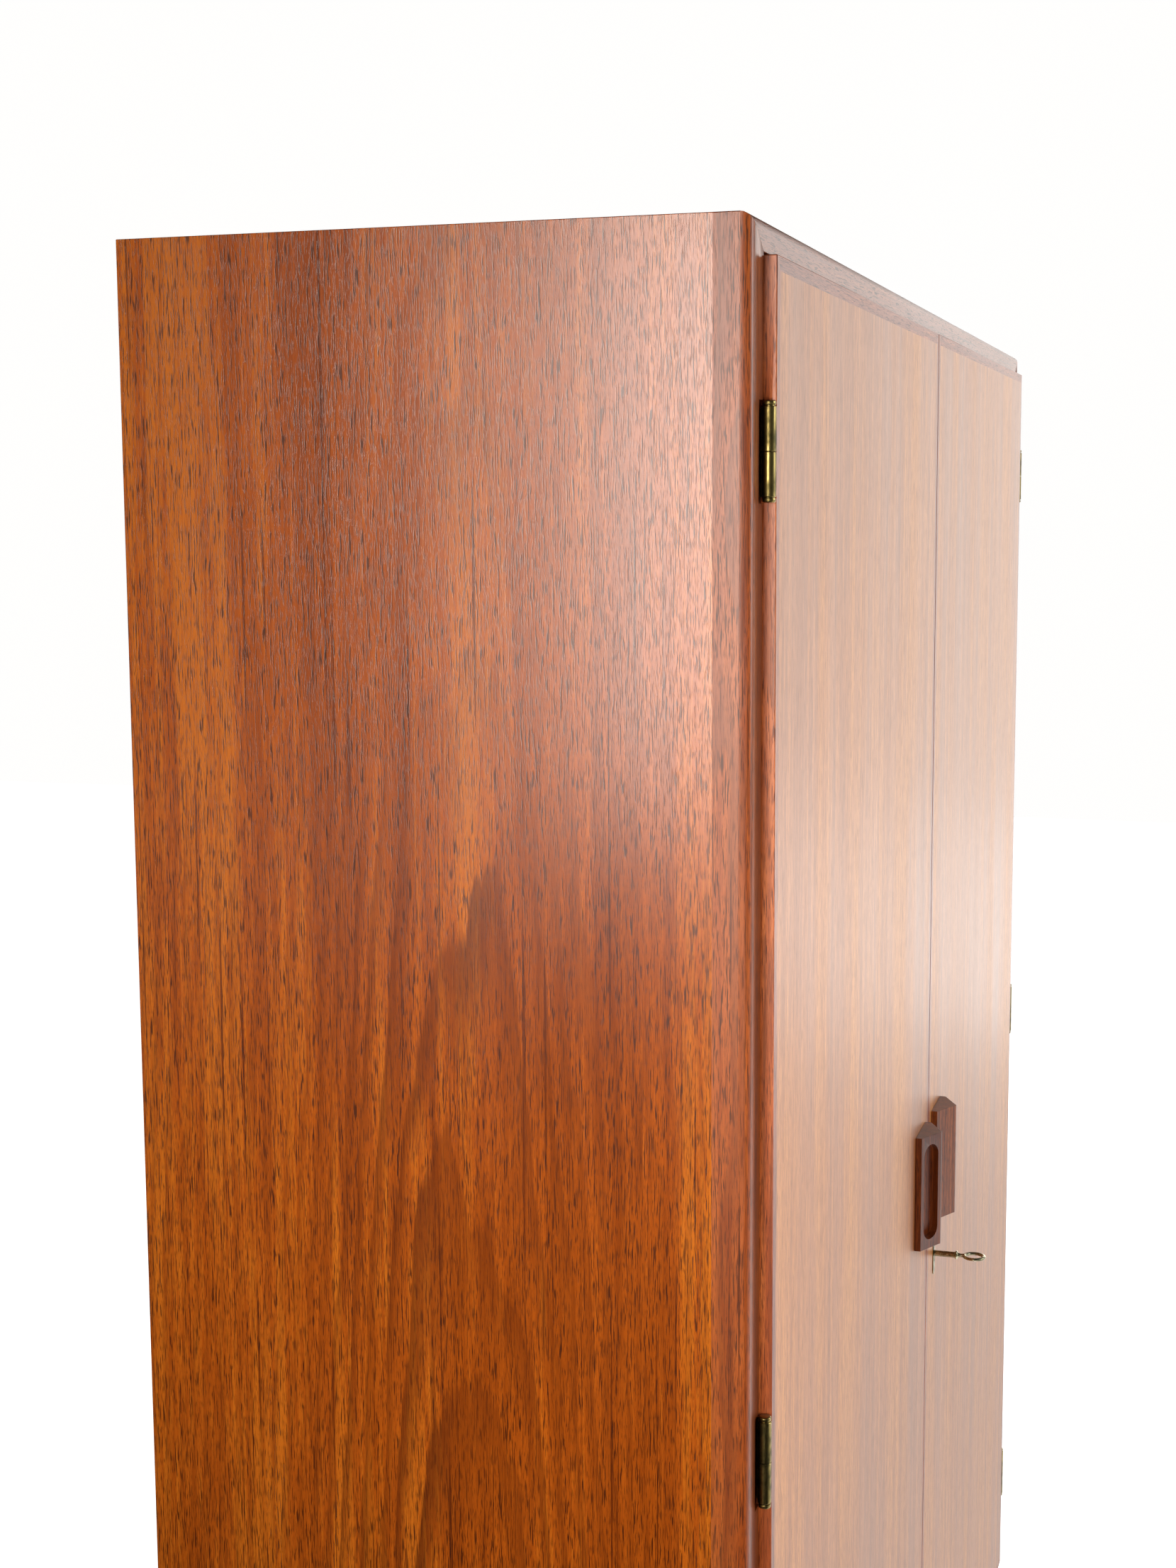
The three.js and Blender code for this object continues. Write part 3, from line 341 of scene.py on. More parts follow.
# %% Plywood and metals
def aged_metal(name, bright, dull, rough, spot, mark):
    """A metal whose colour moves between a bright and a dull tone in soft spots, with fine handling marks."""
    material = bpy.data.materials.new(name)
    material.use_nodes = True
    tree = material.node_tree
    tree.nodes.clear()
    own = add(tree, "ShaderNodeTexCoord").outputs["Object"]
    tarnish = grain_noise(tree, own, spot, spot * 1.6, 3.0)
    tarnish = {0: tarnish, 1: 0.36, 2: 0.66}
    tarnish = add(tree, REMAP, tarnish, interpolation_type="SMOOTHSTEP").outputs[0]
    scratches = grain_noise(tree, own, mark, mark * 14, 2.0, 9.0)
    skins = {0: tarnish, MIX_A: linear(bright), MIX_B: linear(dull)}
    colour = add(tree, MIX, skins, data_type="RGBA").outputs[MIX_RESULT]
    spread = add(tree, MATH, {0: tarnish, 1: 0.16, 2: rough}, operation="MULTIPLY_ADD").outputs[0]
    spread = add(tree, MATH, {0: scratches, 1: 0.1, 2: spread}, operation="MULTIPLY_ADD").outputs[0]
    bump = add(tree, "ShaderNodeBump", {"Strength": 0.12, "Distance": 0.05 * MM, "Height": scratches})
    values = {"Base Color": colour, "Roughness": spread, "Metallic": 1.0, "Normal": bump.outputs[0]}
    shader = add(tree, "ShaderNodeBsdfPrincipled", values)
    add(tree, "ShaderNodeOutputMaterial", {"Surface": shader.outputs[0]})
    return material


PLY_TONES = ("#9A7248", "#B58A5C", "#C9A275", "#8A6038", "#7C5836")
plywood = oiled_teak("sanded_plywood_back", "X", PLY_TONES, QUARTER, 0.3, 0.15, 0.55)
aged_brass = aged_metal("unpolished_drawn_brass", "#8C7C4A", "#4C4528", 0.24, 9, 0.5)
steel = aged_metal("drawn_steel", "#B4B5B0", "#85878A", 0.26, 14, 0.4)
nickel = aged_metal("worn_nickel_plate", "#BDB89C", "#77745A", 0.18, 5, 0.4)
print("materials:", len(bpy.data.materials))

# %% [markdown]
# ## Eased boards
#
# A machined board has sharp arrises, but a joiner breaks them with fine paper so that they don't
# splinter, and that narrow round catches the light. Only the free outer arrises are eased: a joint between
# veneer and lipping is planed flush. A bevel needs whole edges to work on, so each board is first copied
# from its CAD mesh, and the doubled corners and the thin triangles of its flat faces are merged.


# %% Copies of the CAD boards
SHARP_EDGE = 32
SAME_CORNER = 0.004 * MM
FLAT_ANGLE = 0.5


def node_points(mesh):
    """All vertex places of a mesh as one array."""
    places = np.empty(len(mesh.vertices) * 3)
    mesh.vertices.foreach_get("co", places)
    return places.reshape(-1, 3)


def merged_copy(node, name):
    """A copy of a CAD mesh with its doubles merged, its flat areas made whole and its curves smooth."""
    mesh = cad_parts[node].data.copy()
    mesh.name = name
    mesh.materials.clear()
    work = bmesh.new()
    work.from_mesh(mesh)
    bmesh.ops.remove_doubles(work, verts=work.verts, dist=SAME_CORNER)
    bmesh.ops.dissolve_limit(work, angle_limit=math.radians(FLAT_ANGLE), verts=work.verts, edges=work.edges)
    bmesh.ops.recalc_face_normals(work, faces=work.faces)
    work.to_mesh(mesh)
    work.free()
    mesh.shade_smooth()
    mesh.set_sharp_from_angle(angle=math.radians(SHARP_EDGE))
    piece = bpy.data.objects.new(name, mesh)
    bpy.context.scene.collection.objects.link(piece)
    return piece


print("edges steeper than", SHARP_EDGE, "degrees stay sharp")

# %% [markdown]
# ## Which arrises are eased
#
# An arris is free when two free faces of the board meet in it. We name the planes of those faces, mark
# every edge that lies in two of them at once, and let a Bevel modifier round only the marked edges. A
# modifier was chosen over a cut in the mesh, because its width can still be changed afterwards.


# %% Eased arrises
ON_PLANE = 0.02 * MM


def free_edges(mesh, planes):
    """1 for each edge whose two ends lie in at least two of the planes, given as (axis, value) pairs."""
    places = node_points(mesh)
    ends = np.empty(len(mesh.edges) * 2, np.int64)
    mesh.edges.foreach_get("vertices", ends)
    ends = ends.reshape(-1, 2)
    lies = np.stack([np.abs(places[:, axis] - value) < ON_PLANE for axis, value in planes])
    return (lies[:, ends].all(axis=2).sum(axis=0) >= 2).astype(np.float32)


def dress(piece, body, node, material):
    """Gives a piece its finish, lets it ride on a body, and says which CAD node it stands for."""
    piece.data.materials.append(material)
    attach(piece, body)
    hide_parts(node)
    return piece


def ease(node, body, planes, radius, material):
    """A board that stands for a CAD node, with a rounded arris wherever two free planes meet."""
    piece = merged_copy(node, node + "_eased")
    mesh = piece.data
    weights = mesh.attributes.new("bevel_weight_edge", "FLOAT", "EDGE")
    chosen = free_edges(mesh, planes)
    weights.data.foreach_set("value", chosen)
    bevel = piece.modifiers.new("eased_arris", "BEVEL")
    bevel.width = radius * MM
    bevel.segments = 3
    bevel.limit_method = "WEIGHT"
    bevel.harden_normals = True
    dress(piece, body, node, material)
    return int(chosen.sum())


print("an end lies in a plane when it is nearer than", round(ON_PLANE / MM, 3), "mm")

# %% [markdown]
# ## The carcass
#
# The sides, top and bottom are veneered boards, and a solid frame with mitred corners is glued to their
# front edges. Its outer arris is a quarter-round, already in the CAD; only its inner arris is broken.
# We list the planes that bound the free faces, and every edge where two of them meet is eased. The
# mitres and the joints between board and frame lie in only one such plane, so they stay crisp.

# %% Carcass boards and front lippings
front_low, front_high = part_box("left_front_lipping")
opening_low, opening_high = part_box("centre_partition")
right_low, right_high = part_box("right_front_lipping")
carcass_planes = [
    (0, front_low.x), (0, right_high.x), (0, front_high.x), (0, right_low.x),
    (1, front_low.y), (1, side_high.y),
    (2, front_low.z), (2, front_high.z), (2, opening_low.z), (2, opening_high.z),
]
eased = 0
for side in ("left", "right"):
    eased += ease(f"{side}_side_board", "carcass", carcass_planes, 0.6, side_veneer)
    eased += ease(f"{side}_front_lipping", "carcass", carcass_planes, 0.7, upright_lipping)
for level in ("top", "bottom"):
    eased += ease(f"{level}_board", "carcass", carcass_planes, 0.6, level_veneer)
    eased += ease(f"{level}_front_lipping", "carcass", carcass_planes, 0.7, level_lipping)
print("eased carcass edges:", eased)

# %% [markdown]
# ## The doors
#
# Each door is a veneered panel inside four mitred strips. The panel's own edges are joints, so it keeps
# the CAD mesh; the strips get an eased outer arris, which is the thin bright line round a closed door.
# The grain of a strip runs along it, so the top and bottom strips use the recipe with level grain.

# %% Door strips
strips = 0
for side in ("left", "right"):
    door_low, door_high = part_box(f"{side}_door_top_lipping")
    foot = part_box(f"{side}_door_bottom_lipping")[0].z
    planes = [
        (0, door_low.x), (0, door_high.x), (1, door_low.y), (1, door_high.y), (2, foot), (2, door_high.z),
    ]
    for strip, wood in (
        ("hinge", upright_strip), ("meeting", upright_strip), ("top", level_strip), ("bottom", level_strip)
    ):
        strips += ease(f"{side}_door_{strip}_lipping", f"{side}_door", planes, 0.7, wood)
print("eased door edges:", strips)

# %% [markdown]
# ## Shelves, bearers and small plates
#
# The shelves and the partition are veneered boards, the bearers under the carcass are solid rails, and the
# lock case, the strike and the slide bolts are sawn and filed metal. All are flat-sided shapes whose
# holes and slots are in the CAD already. Modelling each again would gain nothing, so the same easing
# is used for all, with a radius that fits their size: broad on a rail, a hair on a thin plate.

# %% Inner boards, base and plates
SIMPLE = [
    ("hat_shelf", "carcass", 0.8, "teak_veneer", level_veneer),
    ("lower_shelf", "carcass", 0.8, "teak_veneer", level_veneer),
    ("upper_shelf", "carcass", 0.8, "teak_veneer", level_veneer),
    ("centre_partition", "carcass", 0.8, "teak_veneer", upright_veneer),
    ("left_bearer", "carcass", 2.0, "teak_solid", bearer_teak),
    ("right_bearer", "carcass", 2.0, "teak_solid", bearer_teak),
    ("lock_case", "right_door", 0.5, "steel", steel),
    ("strike_plate", "left_door", 0.25, "aged_brass", aged_brass),
    ("lock_bolt", "lock_bolt", 0.5, "aged_brass", aged_brass),
    ("upper_slide_case", "left_door", 1.0, "aged_brass", aged_brass),
    ("lower_slide_case", "left_door", 1.0, "aged_brass", aged_brass),
    ("upper_slide_bolt", "upper_slide_bolt", 0.5, "aged_brass", aged_brass),
    ("lower_slide_bolt", "lower_slide_bolt", 0.5, "aged_brass", aged_brass),
]
for node, body, radius, slot, material in SIMPLE:
    low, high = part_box(node)
    faces = [(axis, corner[axis]) for corner in (low, high) for axis in range(3)]
    ease(node, body, faces, radius, material)
print("simple pieces:", len(SIMPLE))

# %% [markdown]
# ## Turned pieces
#
# Legs, rails, sockets and hinge knuckles are turned on a lathe. On a computer that is a grid: one
# parameter walks along the profile, the other goes once round. Repeating the profile's sharp corners
# isn't needed, because edges steeper than 32 degrees are marked sharp afterwards.


# %% Lathe and mesh helpers
def grid_faces(rows, columns):
    """Quads of a grid that is closed round its columns: each joins a point to the next in row and column."""
    row, column = np.meshgrid(np.arange(rows - 1), np.arange(columns), indexing="ij")
    after = (column + 1) % columns
    here, above = row * columns, (row + 1) * columns
    quads = np.stack([here + column, here + after, above + after, above + column], axis=-1)
    return quads.reshape(-1, 4)


def lathe(profile, sides=48):
    """Turns (radius, height) pairs about the z axis. Point = (r cos t, r sin t, h), t once round.

    The two end rings are closed by one face each, so the solid has no hole."""
    profile = np.array(profile, float) * MM
    angle = np.linspace(0, 2 * math.pi, sides, endpoint=False)
    radius, height = profile[:, 0][:, None], profile[:, 1][:, None]
    height = np.broadcast_to(height, (len(profile), sides))
    places = np.stack([radius * np.cos(angle), radius * np.sin(angle), height], axis=-1)
    faces = grid_faces(len(profile), sides).tolist()
    last = (len(profile) - 1) * sides
    faces.append(list(range(sides))[::-1])
    faces.append(list(range(last, last + sides)))
    return places.reshape(-1, 3), faces


def moved(shape, axis, centre):
    """Turns a shape made along z so that it lies along a signed axis, and moves it to its centre."""
    places, faces = shape
    turn = Vector((0, 0, 1)).rotation_difference(Vector(axis)).to_matrix()
    return places @ np.array(turn).T + np.array(centre), faces


def build(name, shapes):
    """One mesh object from several closed shapes, with faces turned outwards and curves smooth."""
    places, faces, start = [], [], 0
    for points, corners in shapes:
        places.append(points)
        faces += [[index + start for index in corner] for corner in corners]
        start += len(points)
    mesh = bpy.data.meshes.new(name)
    mesh.from_pydata(np.concatenate(places), [], faces)
    work = bmesh.new()
    work.from_mesh(mesh)
    bmesh.ops.recalc_face_normals(work, faces=work.faces)
    work.to_mesh(mesh)
    work.free()
    mesh.shade_smooth()
    mesh.set_sharp_from_angle(angle=math.radians(SHARP_EDGE))
    piece = bpy.data.objects.new(name, mesh)
    bpy.context.scene.collection.objects.link(piece)
    return piece


print("points of one turned ring pair:", len(lathe([(1, 0), (1, 1)])[0]))

# %% [markdown]
# ## Thin plates
#
# Metal plates and wooden grips have rounded corners, and their two faces are a little smaller than their
# middle, which is how a filed or sanded rim looks. Four rounded rectangles, stacked through the
# thickness and joined by quads, make that shape without a modifier.


# %% Rounded plates
def round_box(low, high, radius, steps=4):
    """A plate as a stack of rounded rectangles: the first and last are drawn in by a third of the radius.

    Each corner is a quarter circle, so the outline is the corner centre plus radius times (cos t, sin t)."""
    low, high = np.array(low), np.array(high)
    thin = int(np.argmin(high - low))
    wide = [axis for axis in range(3) if axis != thin]
    centre, half = (low + high) / 2, (high - low) / 2
    quarter = np.linspace(0, math.pi / 2, steps)
    angle = np.concatenate([quarter + turn * math.pi / 2 for turn in range(4)])
    signs = np.repeat(np.array([[1, 1], [-1, 1], [-1, -1], [1, -1]]), steps, axis=0)
    ease_in = min(radius / 3, half[thin] * 0.6)
    rows = []
    for inset, level in ((ease_in, -1), (0, -1), (0, 1), (ease_in, 1)):
        row = np.empty((len(angle), 3))
        edge = half[wide] - radius
        row[:, wide[0]] = centre[wide[0]] + signs[:, 0] * edge[0] + (radius - inset) * np.cos(angle)
        row[:, wide[1]] = centre[wide[1]] + signs[:, 1] * edge[1] + (radius - inset) * np.sin(angle)
        row[:, thin] = centre[thin] + level * (half[thin] - (ease_in if inset == 0 else 0))
        rows.append(row)
    columns = len(angle)
    faces = grid_faces(4, columns).tolist()
    faces += [list(range(columns))[::-1], list(range(3 * columns, 4 * columns))]
    return np.concatenate(rows), faces


print("points of one rounded plate:", len(round_box((0, 0, 0), (9, 5, 1), 0.5)[0]))

# %% [markdown]
# ## Legs
#
# The legs are turned from solid teak. They taper to a small foot with a rounded edge, and a glued
# tenon runs up into the bearer. One profile, spun once round, gives the whole leg; its height and its
# widest radius come from the CAD leg, so it fits the bearer's hole.

# %% Legs
FOOT_RADIUS, FOOT_ROUNDING, TENON_RADIUS = 12.0, 1.6, 10.0
quarter_turn = np.linspace(0, math.pi / 2, 5)
for row in ("front", "rear"):
    for side in ("left", "right"):
        node = f"{row}_{side}_leg"
        low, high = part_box(node)
        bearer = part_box(f"{side}_bearer")[0].z / MM
        top = (high.x - low.x) / 2 / MM
        profile = [
            (FOOT_RADIUS - FOOT_ROUNDING * (1 - math.sin(t)), FOOT_ROUNDING * (1 - math.cos(t)))
            for t in quarter_turn
        ]
        profile += [(FOOT_RADIUS + (top - FOOT_RADIUS) * share, bearer * share) for share in (0.25, 0.5, 0.75)]
        profile += [(top - 0.2, bearer - 0.6), (top - 0.8, bearer)]
        profile += [(TENON_RADIUS, bearer), (TENON_RADIUS, high.z / MM)]
        place = ((low.x + high.x) / 2, (low.y + high.y) / 2, 0)
        leg = build(node + "_turned", [moved(lathe(profile), (0, 0, 1), place)])
        dress(leg, "carcass", node, upright_lipping)
print("legs turned:", 4)

# %% [markdown]
# ## Hanging rail and its sockets
#
# The rail is a plain drawn steel tube that drops into two brass cups screwed to the boards. Tube and cup
# are both turned shapes, so the lathe makes them lying along the width. A tube needs no more than
# its outer profile, because its two ends are hidden in the cups.

# %% Hanging rail and sockets
low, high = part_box("hanging_rail")
radius = (high.z - low.z) / 2 / MM
length = (high.x - low.x) / MM
rail_centre = (low.x, (low.y + high.y) / 2, (low.z + high.z) / 2)
rail_profile = [(radius - 0.8, 0), (radius, 0.8), (radius, length / 2)]
rail_profile += [(radius, length - 0.8), (radius - 0.8, length)]
rail = build("hanging_rail_tube", [moved(lathe(rail_profile, 64), (1, 0, 0), rail_centre)])
dress(rail, "carcass", "hanging_rail", steel)
for side, direction in (("left", 1), ("right", -1)):
    node = f"{side}_rail_socket"
    low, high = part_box(node)
    outer = (high.z - low.z) / 2 / MM
    depth = (high.x - low.x) / MM
    bore = radius + 0.4
    cup = [
        (outer - 0.6, 0), (outer, 0.6), (outer, 2.6), (outer - 0.6, 3.2), (bore + 3.4, depth - 1.0),
        (bore + 2.6, depth), (bore + 0.4, depth), (bore, depth - 0.5), (bore, 3.0), (1.0, 3.0),
    ]
    wall = low.x if direction > 0 else high.x
    place = (wall, (low.y + high.y) / 2, (low.z + high.z) / 2)
    socket = build(node + "_cup", [moved(lathe(cup, 48), (direction, 0, 0), place)])
    dress(socket, "carcass", node, aged_brass)
print("rail length in mm:", round(length, 1))

# %% [markdown]
# ## Shelf wires
#
# Each loose shelf hangs on two bent steel wires, whose ends go into holes in the boards. A wire is
# a drawn rod with round bends, and the CAD mesh already has that shape, so a merged copy of it is
# enough: its curves are made smooth and its cut ends stay sharp.

# %% Shelf wires
for shelf in ("lower", "upper"):
    for side in ("left", "right"):
        node = f"{shelf}_shelf_wire_{side}"
        dress(merged_copy(node, node + "_drawn"), "carcass", node, steel)
print("shelf wires:", 4)

# %% [markdown]
# ## Screws
#
# Brass countersunk screws with one slot hold every plate. A head is two halves of a disc with the slot
# between them: each half is an arc closed by a chord, carried up from the plate and drawn in at the top.


# %% Slotted screw heads
def half_head(radius, slot, rise, sign, steps=14):
    """Half of a screw head. The outline is an arc between the two ends of the slot's chord, then the chord."""
    reach = math.asin(slot / 2 / radius)
    arc = np.linspace(reach, math.pi - reach, steps)
    outline = np.stack([radius * np.cos(arc), sign * radius * np.sin(arc)], axis=1)
    middle = outline.mean(axis=0)
    rows = []
    for inset, level in ((0.0, -0.6), (0.0, rise * 0.4), (0.07, rise)):
        flat = outline + (middle - outline) * inset
        rows.append(np.column_stack([flat, np.full(steps, level)]))
    faces = grid_faces(3, steps).tolist()
    faces += [list(range(steps))[::-1], list(range(2 * steps, 3 * steps))]
    return np.concatenate(rows) * MM, faces


SLOT_SHARE = 0.26


def screw(centre, axis, radius, tilt, rise=0.15):
    """A slotted head on a plate: two halves and the bottom of the slot, its slot turned by `tilt`."""
    slot = radius * SLOT_SHARE
    turn = np.array(Matrix.Rotation(tilt, 3, "Z"))
    parts = [half_head(radius, slot, rise, 1), half_head(radius, slot, rise, -1)]
    parts.append(lathe([(radius * 0.97, -0.7), (radius * 0.97, rise - 0.22)], 24))
    return [moved((places @ turn.T, faces), axis, centre) for places, faces in parts]


tilts = np.random.default_rng(7).uniform(0, math.pi, 80).tolist()
print("slot angles drawn:", len(tilts))

# %% [markdown]
# ## Lift-off hinges
#
# Each hinge is a pair of brass leaves. The lower leaf is let into the carcass and carries a solid
# knuckle with a pin; the upper leaf is let into the door's edge, and its knuckle drops over the pin,
# so that the door lifts off. Both knuckles end in a turned button with a fine groove below it. We turn
# the knuckles and the pin on the lathe, make each leaf as a thin rounded plate, and set three screws
# in it. The screws of all leaves on one body are one piece.


# %% Hinge leaves with knuckles
KNUCKLE_RADIUS = 4.6
KNUCKLE_SPLIT = 0.15
BUTTON = 3.6
LEAF_THICKNESS = 1.2
HINGE_SCREW_RADIUS = 2.1
PIN_PROFILE = [(2.5, 0), (2.5, 15), (2.5, 22.6), (2.1, 23.6), (1.2, 24)]


def knuckle(radius, half, direction):
    """A knuckle's profile from the split outwards: a hair-fine chamfer, the barrel, a groove and a button."""
    cap = radius - 0.3
    arc = np.linspace(0, math.pi / 2, 5)
    profile = [(radius - 0.9, KNUCKLE_SPLIT), (radius - 0.25, KNUCKLE_SPLIT), (radius, KNUCKLE_SPLIT + 0.3)]
    profile += [(radius, half - 0.4), (radius - 0.3, half), (cap - 0.7, half + 0.15), (cap - 0.7, half + 0.55)]
    profile += [(cap - 0.1, half + 0.8), (cap, half + 1.1), (cap, half + BUTTON - 1.0)]
    profile += [(cap - 1.0 + math.cos(t), half + BUTTON - 1.0 + math.sin(t)) for t in arc[1:]]
    return moved(lathe(profile, 40), (0, 0, direction), (0, 0, 0))


hinge_screws = {"carcass": [], "left_door": [], "right_door": []}
for side, outward in (("left", -1), ("right", 1)):
    for height in ("top", "middle", "bottom"):
        for leaf, body, direction in (("carcass_leaf", "carcass", -1), ("door_leaf", f"{side}_door", 1)):
            node = f"{side}_{height}_hinge_{leaf}"
            low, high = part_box(node)
            end = high.z if direction > 0 else low.z
            axis_x = (low.x + KNUCKLE_RADIUS * MM) if side == "left" else (high.x - KNUCKLE_RADIUS * MM)
            axis_y = low.y + KNUCKLE_RADIUS * MM
            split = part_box(f"{side}_{height}_hinge_door_leaf")[0].z - KNUCKLE_SPLIT * MM
            half = abs(end - split) / MM - BUTTON
            places, faces = knuckle(KNUCKLE_RADIUS, half, direction)
            shapes = [(places + np.array((axis_x, axis_y, split)), faces)]
            inner = high.x if side == "left" else low.x
            plate_x = sorted((inner, inner + outward * LEAF_THICKNESS * MM))
            near, far = sorted((split + direction * KNUCKLE_SPLIT * MM, split + direction * half * MM))
            plate = round_box((plate_x[0], axis_y, near), (plate_x[1], high.y, far), LEAF_THICKNESS * MM)
            shapes.append(plate)
            if leaf == "carcass_leaf":
                shapes.append(moved(lathe(PIN_PROFILE, 24), (0, 0, 1), (axis_x, axis_y, split)))
            dress(build(node + "_brass", shapes), body, node, aged_brass)
            face_x = inner if leaf == "carcass_leaf" else inner + outward * LEAF_THICKNESS * MM
            normal = (-outward if leaf == "carcass_leaf" else outward, 0, 0)
            for share, depth in ((0.16, 0.62), (0.5, 0.78), (0.84, 0.62)):
                spot = (face_x, axis_y + (high.y - axis_y) * depth, near + (far - near) * share)
                hinge_screws[body] += screw(spot, normal, HINGE_SCREW_RADIUS, tilts.pop())
for body, shapes in hinge_screws.items():
    piece = build(body + "_hinge_screws", shapes)
    piece.data.materials.append(aged_brass)
    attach(piece, body)
print("hinge leaves: 12, slotted screws:", sum(len(s) for s in hinge_screws.values()) // 3)

# %% [markdown]
# ## Handles
#
# A handle is one block of teak with a low roof-shaped section. A long finger slot with round ends is
# milled into the slope that faces away from the other door. The shape is the CAD's; here all its
# arrises get the soft round that sanding gives, and that a hand keeps polishing.

# %% Handles
HANDLE_ROUNDING = 1.3
for side in ("left", "right"):
    node = f"{side}_handle"
    piece = merged_copy(node, node + "_shaped")
    rounding = piece.modifiers.new("sanded_arris", "BEVEL")
    rounding.width = HANDLE_ROUNDING * MM
    rounding.segments = 4
    rounding.limit_method = "ANGLE"
    rounding.angle_limit = math.radians(34)
    rounding.harden_normals = True
    dress(piece, f"{side}_door", node, handle_teak)
low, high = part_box("left_handle")
print("handle length in mm:", round((high.z - low.z) / MM, 1))

# %% [markdown]
# ## Key
#
# The key has a plain round shaft, a bright bead, a thin neck and an oval bow. Shaft, bead and neck are one
# turned profile. The bow is a ring whose centre line is an ellipse and whose section is a flattened
# circle: the point is the centre line plus the band times (cos u, sin u), u once round the section.
# The bit is a small plate at the inner end.

# %% Key
low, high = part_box("key")
shaft_x, shaft_z = (low.x + high.x) / 2, (low.z + high.z) / 2
door_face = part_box("right_door_panel")[0].y
tip = (door_face - high.y) / MM
reach = (door_face - low.y) / MM
SHAFT_RADIUS, BEAD_PLACE, BEAD_HALF = 3.0, 23.25, 1.25
key_profile = [(SHAFT_RADIUS - 0.4, tip), (SHAFT_RADIUS, tip + 0.4), (SHAFT_RADIUS, 6.0), (SHAFT_RADIUS, 21.4)]
key_profile += [
    (3.1 + 1.3 * math.sqrt(1 - t * t), BEAD_PLACE + BEAD_HALF * t) for t in np.linspace(-1, 1, 9)
]
key_profile += [(2.4, 25.0), (1.9, 27.5), (2.1, 30.5), (2.3, 31.5)]
shaft = moved(lathe(key_profile, 32), (0, -1, 0), (shaft_x, door_face, shaft_z))

ROUND_BOW, ROUND_BAND = 56, 16
half_wide, half_long, band, thick = (high.x - low.x) / 2 / MM, (reach - 29.5) / 2, 2.2, 1.6
around, across = np.meshgrid(
    np.linspace(0, 2 * math.pi, ROUND_BOW, endpoint=False),
    np.linspace(0, 2 * math.pi, ROUND_BAND, endpoint=False),
    indexing="ij",
)
ring_x = (half_wide - band + band * np.cos(across)) * np.cos(around)
ring_y = (half_long - band + band * np.cos(across)) * np.sin(around)
ring_z = thick * np.sin(across)
bow_places = np.stack([ring_x, -(reach - half_long) + ring_y, ring_z], axis=-1).reshape(-1, 3) * MM
bow_places += np.array((shaft_x, door_face, shaft_z))
i, j = np.meshgrid(np.arange(ROUND_BOW), np.arange(ROUND_BAND), indexing="ij")
here, after = i * ROUND_BAND, (i + 1) % ROUND_BOW * ROUND_BAND
beside = (j + 1) % ROUND_BAND
bow_faces = np.stack([here + j, after + j, after + beside, here + beside], axis=-1).reshape(-1, 4).tolist()
bit_low = (shaft_x, high.y - 4.6 * MM, shaft_z - 1.1 * MM)
bit_high = (shaft_x + 8.5 * MM, high.y, shaft_z + 1.1 * MM)
bit = round_box(bit_low, bit_high, 0.5 * MM)
key = build("key_turned", [shaft, (bow_places, bow_faces), bit])
dress(key, "key", "key", nickel)
print("key reach in mm:", round(reach, 1))

# %% [markdown]
# ## Escutcheon
#
# The escutcheon is a slim brass plate, pressed from sheet, so its rim is soft and not cut square. The keyhole
# is in the CAD mesh already; a small Bevel on the steep edges gives the pressed rim.

# %% Escutcheon
plate = merged_copy("escutcheon", "escutcheon_pressed")
dome = plate.modifiers.new("pressed_edge", "BEVEL")
dome.width = 0.35 * MM
dome.segments = 3
dome.limit_method = "ANGLE"
dome.angle_limit = math.radians(50)
dome.harden_normals = True
dress(plate, "right_door", "escutcheon", aged_brass)
print("escutcheon faces:", len(plate.data.polygons))

# %% [markdown]
# ## Screws of the lock, the strike and the slide bolts
#
# These plates sit on edges and inner faces, so their screws show only when the doors stand open. Their
# places are shares of each plate's own box, near its ends, where a metalworker drills them. All
# screws on one door are one piece, because they move together.

# %% Plate screws
plate_screws = {"left_door": [], "right_door": []}
low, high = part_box("strike_plate")
for share in (0.12, 0.88):
    spot = (high.x, (low.y + high.y) / 2, low.z + (high.z - low.z) * share)
    plate_screws["left_door"] += screw(spot, (1, 0, 0), 2.2, tilts.pop())
low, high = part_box("lock_case")
for share in (0.1, 0.9):
    spot = (low.x, (low.y + high.y) / 2, low.z + (high.z - low.z) * share)
    plate_screws["right_door"] += screw(spot, (-1, 0, 0), 2.2, tilts.pop())
for name in ("upper", "lower"):
    low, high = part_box(f"{name}_slide_case")
    for side_share in (0.17, 0.83):
        for share in (0.1, 0.9):
            spot = (low.x + (high.x - low.x) * side_share, high.y, low.z + (high.z - low.z) * share)
            plate_screws["left_door"] += screw(spot, (0, 1, 0), 1.5, tilts.pop())
for body, shapes in plate_screws.items():
    piece = build(body + "_plate_screws", shapes)
    piece.data.materials.append(aged_brass)
    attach(piece, body)
print("plate screws:", sum(len(s) for s in plate_screws.values()) // 3)

# %% [markdown]
# ## Finishes on the pieces that keep their CAD mesh
#
# The door panels and the back are flat boards between other pieces, so the CAD shape is right as it is.
# All their edges are hidden in joints or rebates, and easing them would open gaps that a real
# door doesn't have. They only get their finish, in the material slots of the CAD mesh.

# %% Finish the kept nodes
KEPT = {"left_door_panel": door_veneer, "right_door_panel": door_veneer, "back_panel": plywood}
for node, material in KEPT.items():
    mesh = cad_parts[node].data
    mesh.materials.clear()
    mesh.materials.append(material)
print("kept nodes:", sorted(KEPT))

# %% [markdown]
# ## Studio floor
#
# The wardrobe stands on a pale painted floor in a bright white studio. The floor glows a little, so
# that it runs into the white background without a horizon, and more so in the doors' low reflections,
# where a real studio has bright walls. At the left lies a black cloth that only reflections see: it keeps
# the side's colour deep, as a studio does with dark furniture.

